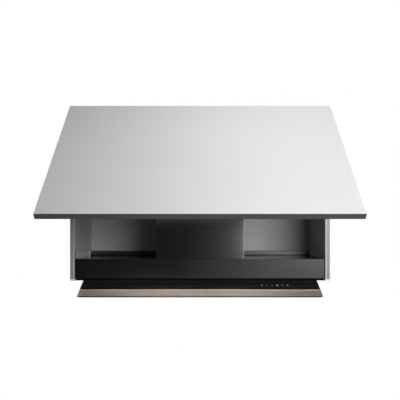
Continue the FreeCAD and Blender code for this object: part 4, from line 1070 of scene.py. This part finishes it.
# ---- the stage ----
WHITE = (1.0, 1.0, 1.0)
CAMERA_PLACE = (0.0, -2.444, 0.1906)
CAMERA_LENS = 54.4
CAMERA_RISE = 0.0645
FLOOR_MIDDLE = (0.0, 1.4, -0.85)
FLOOR_SIZE = (16.0, 5.2, 1.0)
WALL_HEIGHT = 7.0
WALL_CURVE = 1.5
WHITE_FROM = (0.2, 1.0)
WHITE_BESIDE = 2.0
WORLD_LEVEL = 0.02
# Each lamp: name, place, aim, width, height, spread in degrees, power in watts.
LAMPS = (
    ("window", (1.12, -2.6, 0.35), (0.1, -0.4, 0.1), 1.36, 0.9, 110.0, 18.6),
    ("above", (0.3, -0.96, 1.27), (0.3, -0.385, 0.577), 0.5, 0.5, 180.0, 5.2),
    ("front", (0.0, -2.2, 0.7), (0.0, -0.36, -0.17), 0.6, 0.02, 12.0, 0.86),
    ("rear", (-1.6, 2.2, 1.3), (0.0, 0.0, 0.3), 1.6, 1.2, 180.0, 45.0),
)


class HOOD_OT_stage(bpy.types.Operator):
    """Makes the backdrop, the lights and the camera"""

    bl_idname = "hood.stage"
    bl_label = "Stage"

    def execute(self, context):
        self.backdrop()
        self.world()
        for name, place, aim, width, height, spread, power in LAMPS:
            self.lamp(name, Vector(place), Vector(aim), width, height, spread, power)
        self.camera()
        return {"FINISHED"}

    def backdrop(self):
        """A floor that sweeps up into a wall well behind the piece."""
        clear_choice()
        bpy.ops.mesh.primitive_plane_add(size=1.0, location=FLOOR_MIDDLE)
        sweep = bpy.context.object
        sweep.scale = FLOOR_SIZE
        settle(sweep)
        back = FLOOR_MIDDLE[1] + FLOOR_SIZE[1] / 2 - 0.1
        level = FLOOR_MIDDLE[2] + 0.05
        choose(sweep, "edges", lambda middle, way: middle.y > back)
        bpy.ops.mesh.extrude_region_move(TRANSFORM_OT_translate={"value": (0, 0, WALL_HEIGHT)})
        done()
        bevel(sweep, WALL_CURVE, 16, lambda middle, way: middle.y > back and middle.z < level)
        sweep.name = "stage_sweep"
        smooth(sweep, 60.0)
        sweep.data.materials.append(self.backdrop_paint())

    def backdrop_paint(self):
        """Pale paint that is seen as plain white far behind the piece."""
        paint = Paint("stage_sweep", base_color=(0.8, 0.8, 0.8), roughness=0.9)
        seen, mirrored = self.rays(paint)
        beside = paint.along("X").size() > WHITE_BESIDE
        far = paint.spread(paint.along("Y"), *WHITE_FROM).or_else(beside)
        white = paint.node("ShaderNodeEmission", values={"Color": WHITE, "Strength": 1.0})
        mix = paint.node(
            "ShaderNodeMixShader",
            values={0: seen.or_else(mirrored) * far, 1: Wire(paint, paint.shader.outputs[0]), 2: white},
        )
        paint.tree.links.new(mix.socket, paint.tree.nodes["Material Output"].inputs["Surface"])
        return paint.material

    def rays(self, paint):
        """What the camera sees, and what metal and glass show."""
        seen = paint.node("ShaderNodeLightPath", output="Is Camera Ray")
        outputs = seen.socket.node.outputs
        glossy, through = (Wire(paint, outputs[ray]) for ray in ("Is Glossy Ray", "Is Transmission Ray"))
        return seen, glossy.or_else(through)

    def world(self):
        """Dim light from all round, seen as plain white."""
        sky = Sky("studio")
        seen, mirrored = self.rays(sky)
        behind = sky.spread(sky.along("Y"), 0.5, 0.9)
        levels = [
            sky.node("ShaderNodeBackground", values={"Color": WHITE, "Strength": level})
            for level in (WORLD_LEVEL, 1.0)
        ]
        mix = sky.node(
            "ShaderNodeMixShader", values={0: seen.or_else(mirrored * behind), 1: levels[0], 2: levels[1]}
        )
        sky.tree.links.new(mix.socket, sky.tree.nodes["World Output"].inputs["Surface"])
        bpy.context.scene.world = sky.world

    def lamp(self, name, place, aim, width, height, spread, power):
        data = bpy.data.lights.new(name, "AREA")
        data.shape = "RECTANGLE"
        data.size = width
        data.size_y = height
        data.spread = math.radians(spread)
        data.energy = power
        lamp = bpy.data.objects.new(name, data)
        bpy.context.scene.collection.objects.link(lamp)
        lamp.location = place
        lamp.rotation_euler = (aim - place).to_track_quat("-Z", "Y").to_euler()

    def camera(self):
        data = bpy.data.cameras.new("camera")
        data.sensor_width = 36.0
        data.lens = CAMERA_LENS
        data.shift_y = CAMERA_RISE
        seen = bpy.data.objects.new("camera", data)
        bpy.context.scene.collection.objects.link(seen)
        seen.location = CAMERA_PLACE
        seen.rotation_euler = (math.radians(90.0), 0.0, 0.0)
        bpy.context.scene.camera = seen
        bpy.context.scene.view_settings.view_transform = "Standard"


STEPS = (
    HOOD_OT_nodes, HOOD_OT_softened, HOOD_OT_cabinet_edges, HOOD_OT_under_frame,
    HOOD_OT_visor, HOOD_OT_filters, HOOD_OT_lamps, HOOD_OT_stage,
)


class HOOD_PT_panel(bpy.types.Panel):
    """Lists the steps that dress the hood"""

    bl_idname = "HOOD_PT_panel"
    bl_label = "Cooker hood"
    bl_space_type = "VIEW_3D"
    bl_region_type = "UI"
    bl_category = "Hood"

    def draw(self, context):
        for group in (context.scene.hood_sizes, context.scene.hood_colours):
            for key in group.bl_rna.properties.keys():
                if key not in ("rna_type", "name"):
                    self.layout.prop(group, key)
        for step in STEPS:
            self.layout.operator(step.bl_idname)


CLASSES = (HoodSizes, HoodColours, *STEPS, HOOD_PT_panel)


def register():
    for each in CLASSES:
        bpy.utils.register_class(each)
    bpy.types.Scene.hood_sizes = PointerProperty(type=HoodSizes)
    bpy.types.Scene.hood_colours = PointerProperty(type=HoodColours)


def unregister():
    del bpy.types.Scene.hood_sizes
    del bpy.types.Scene.hood_colours
    for each in reversed(CLASSES):
        bpy.utils.unregister_class(each)


def main():
    register()
    for step in STEPS:
        group, name = step.bl_idname.split(".")
        getattr(getattr(bpy.ops, group), name)()
    clear_choice()


if __name__ == "__main__":
    main()
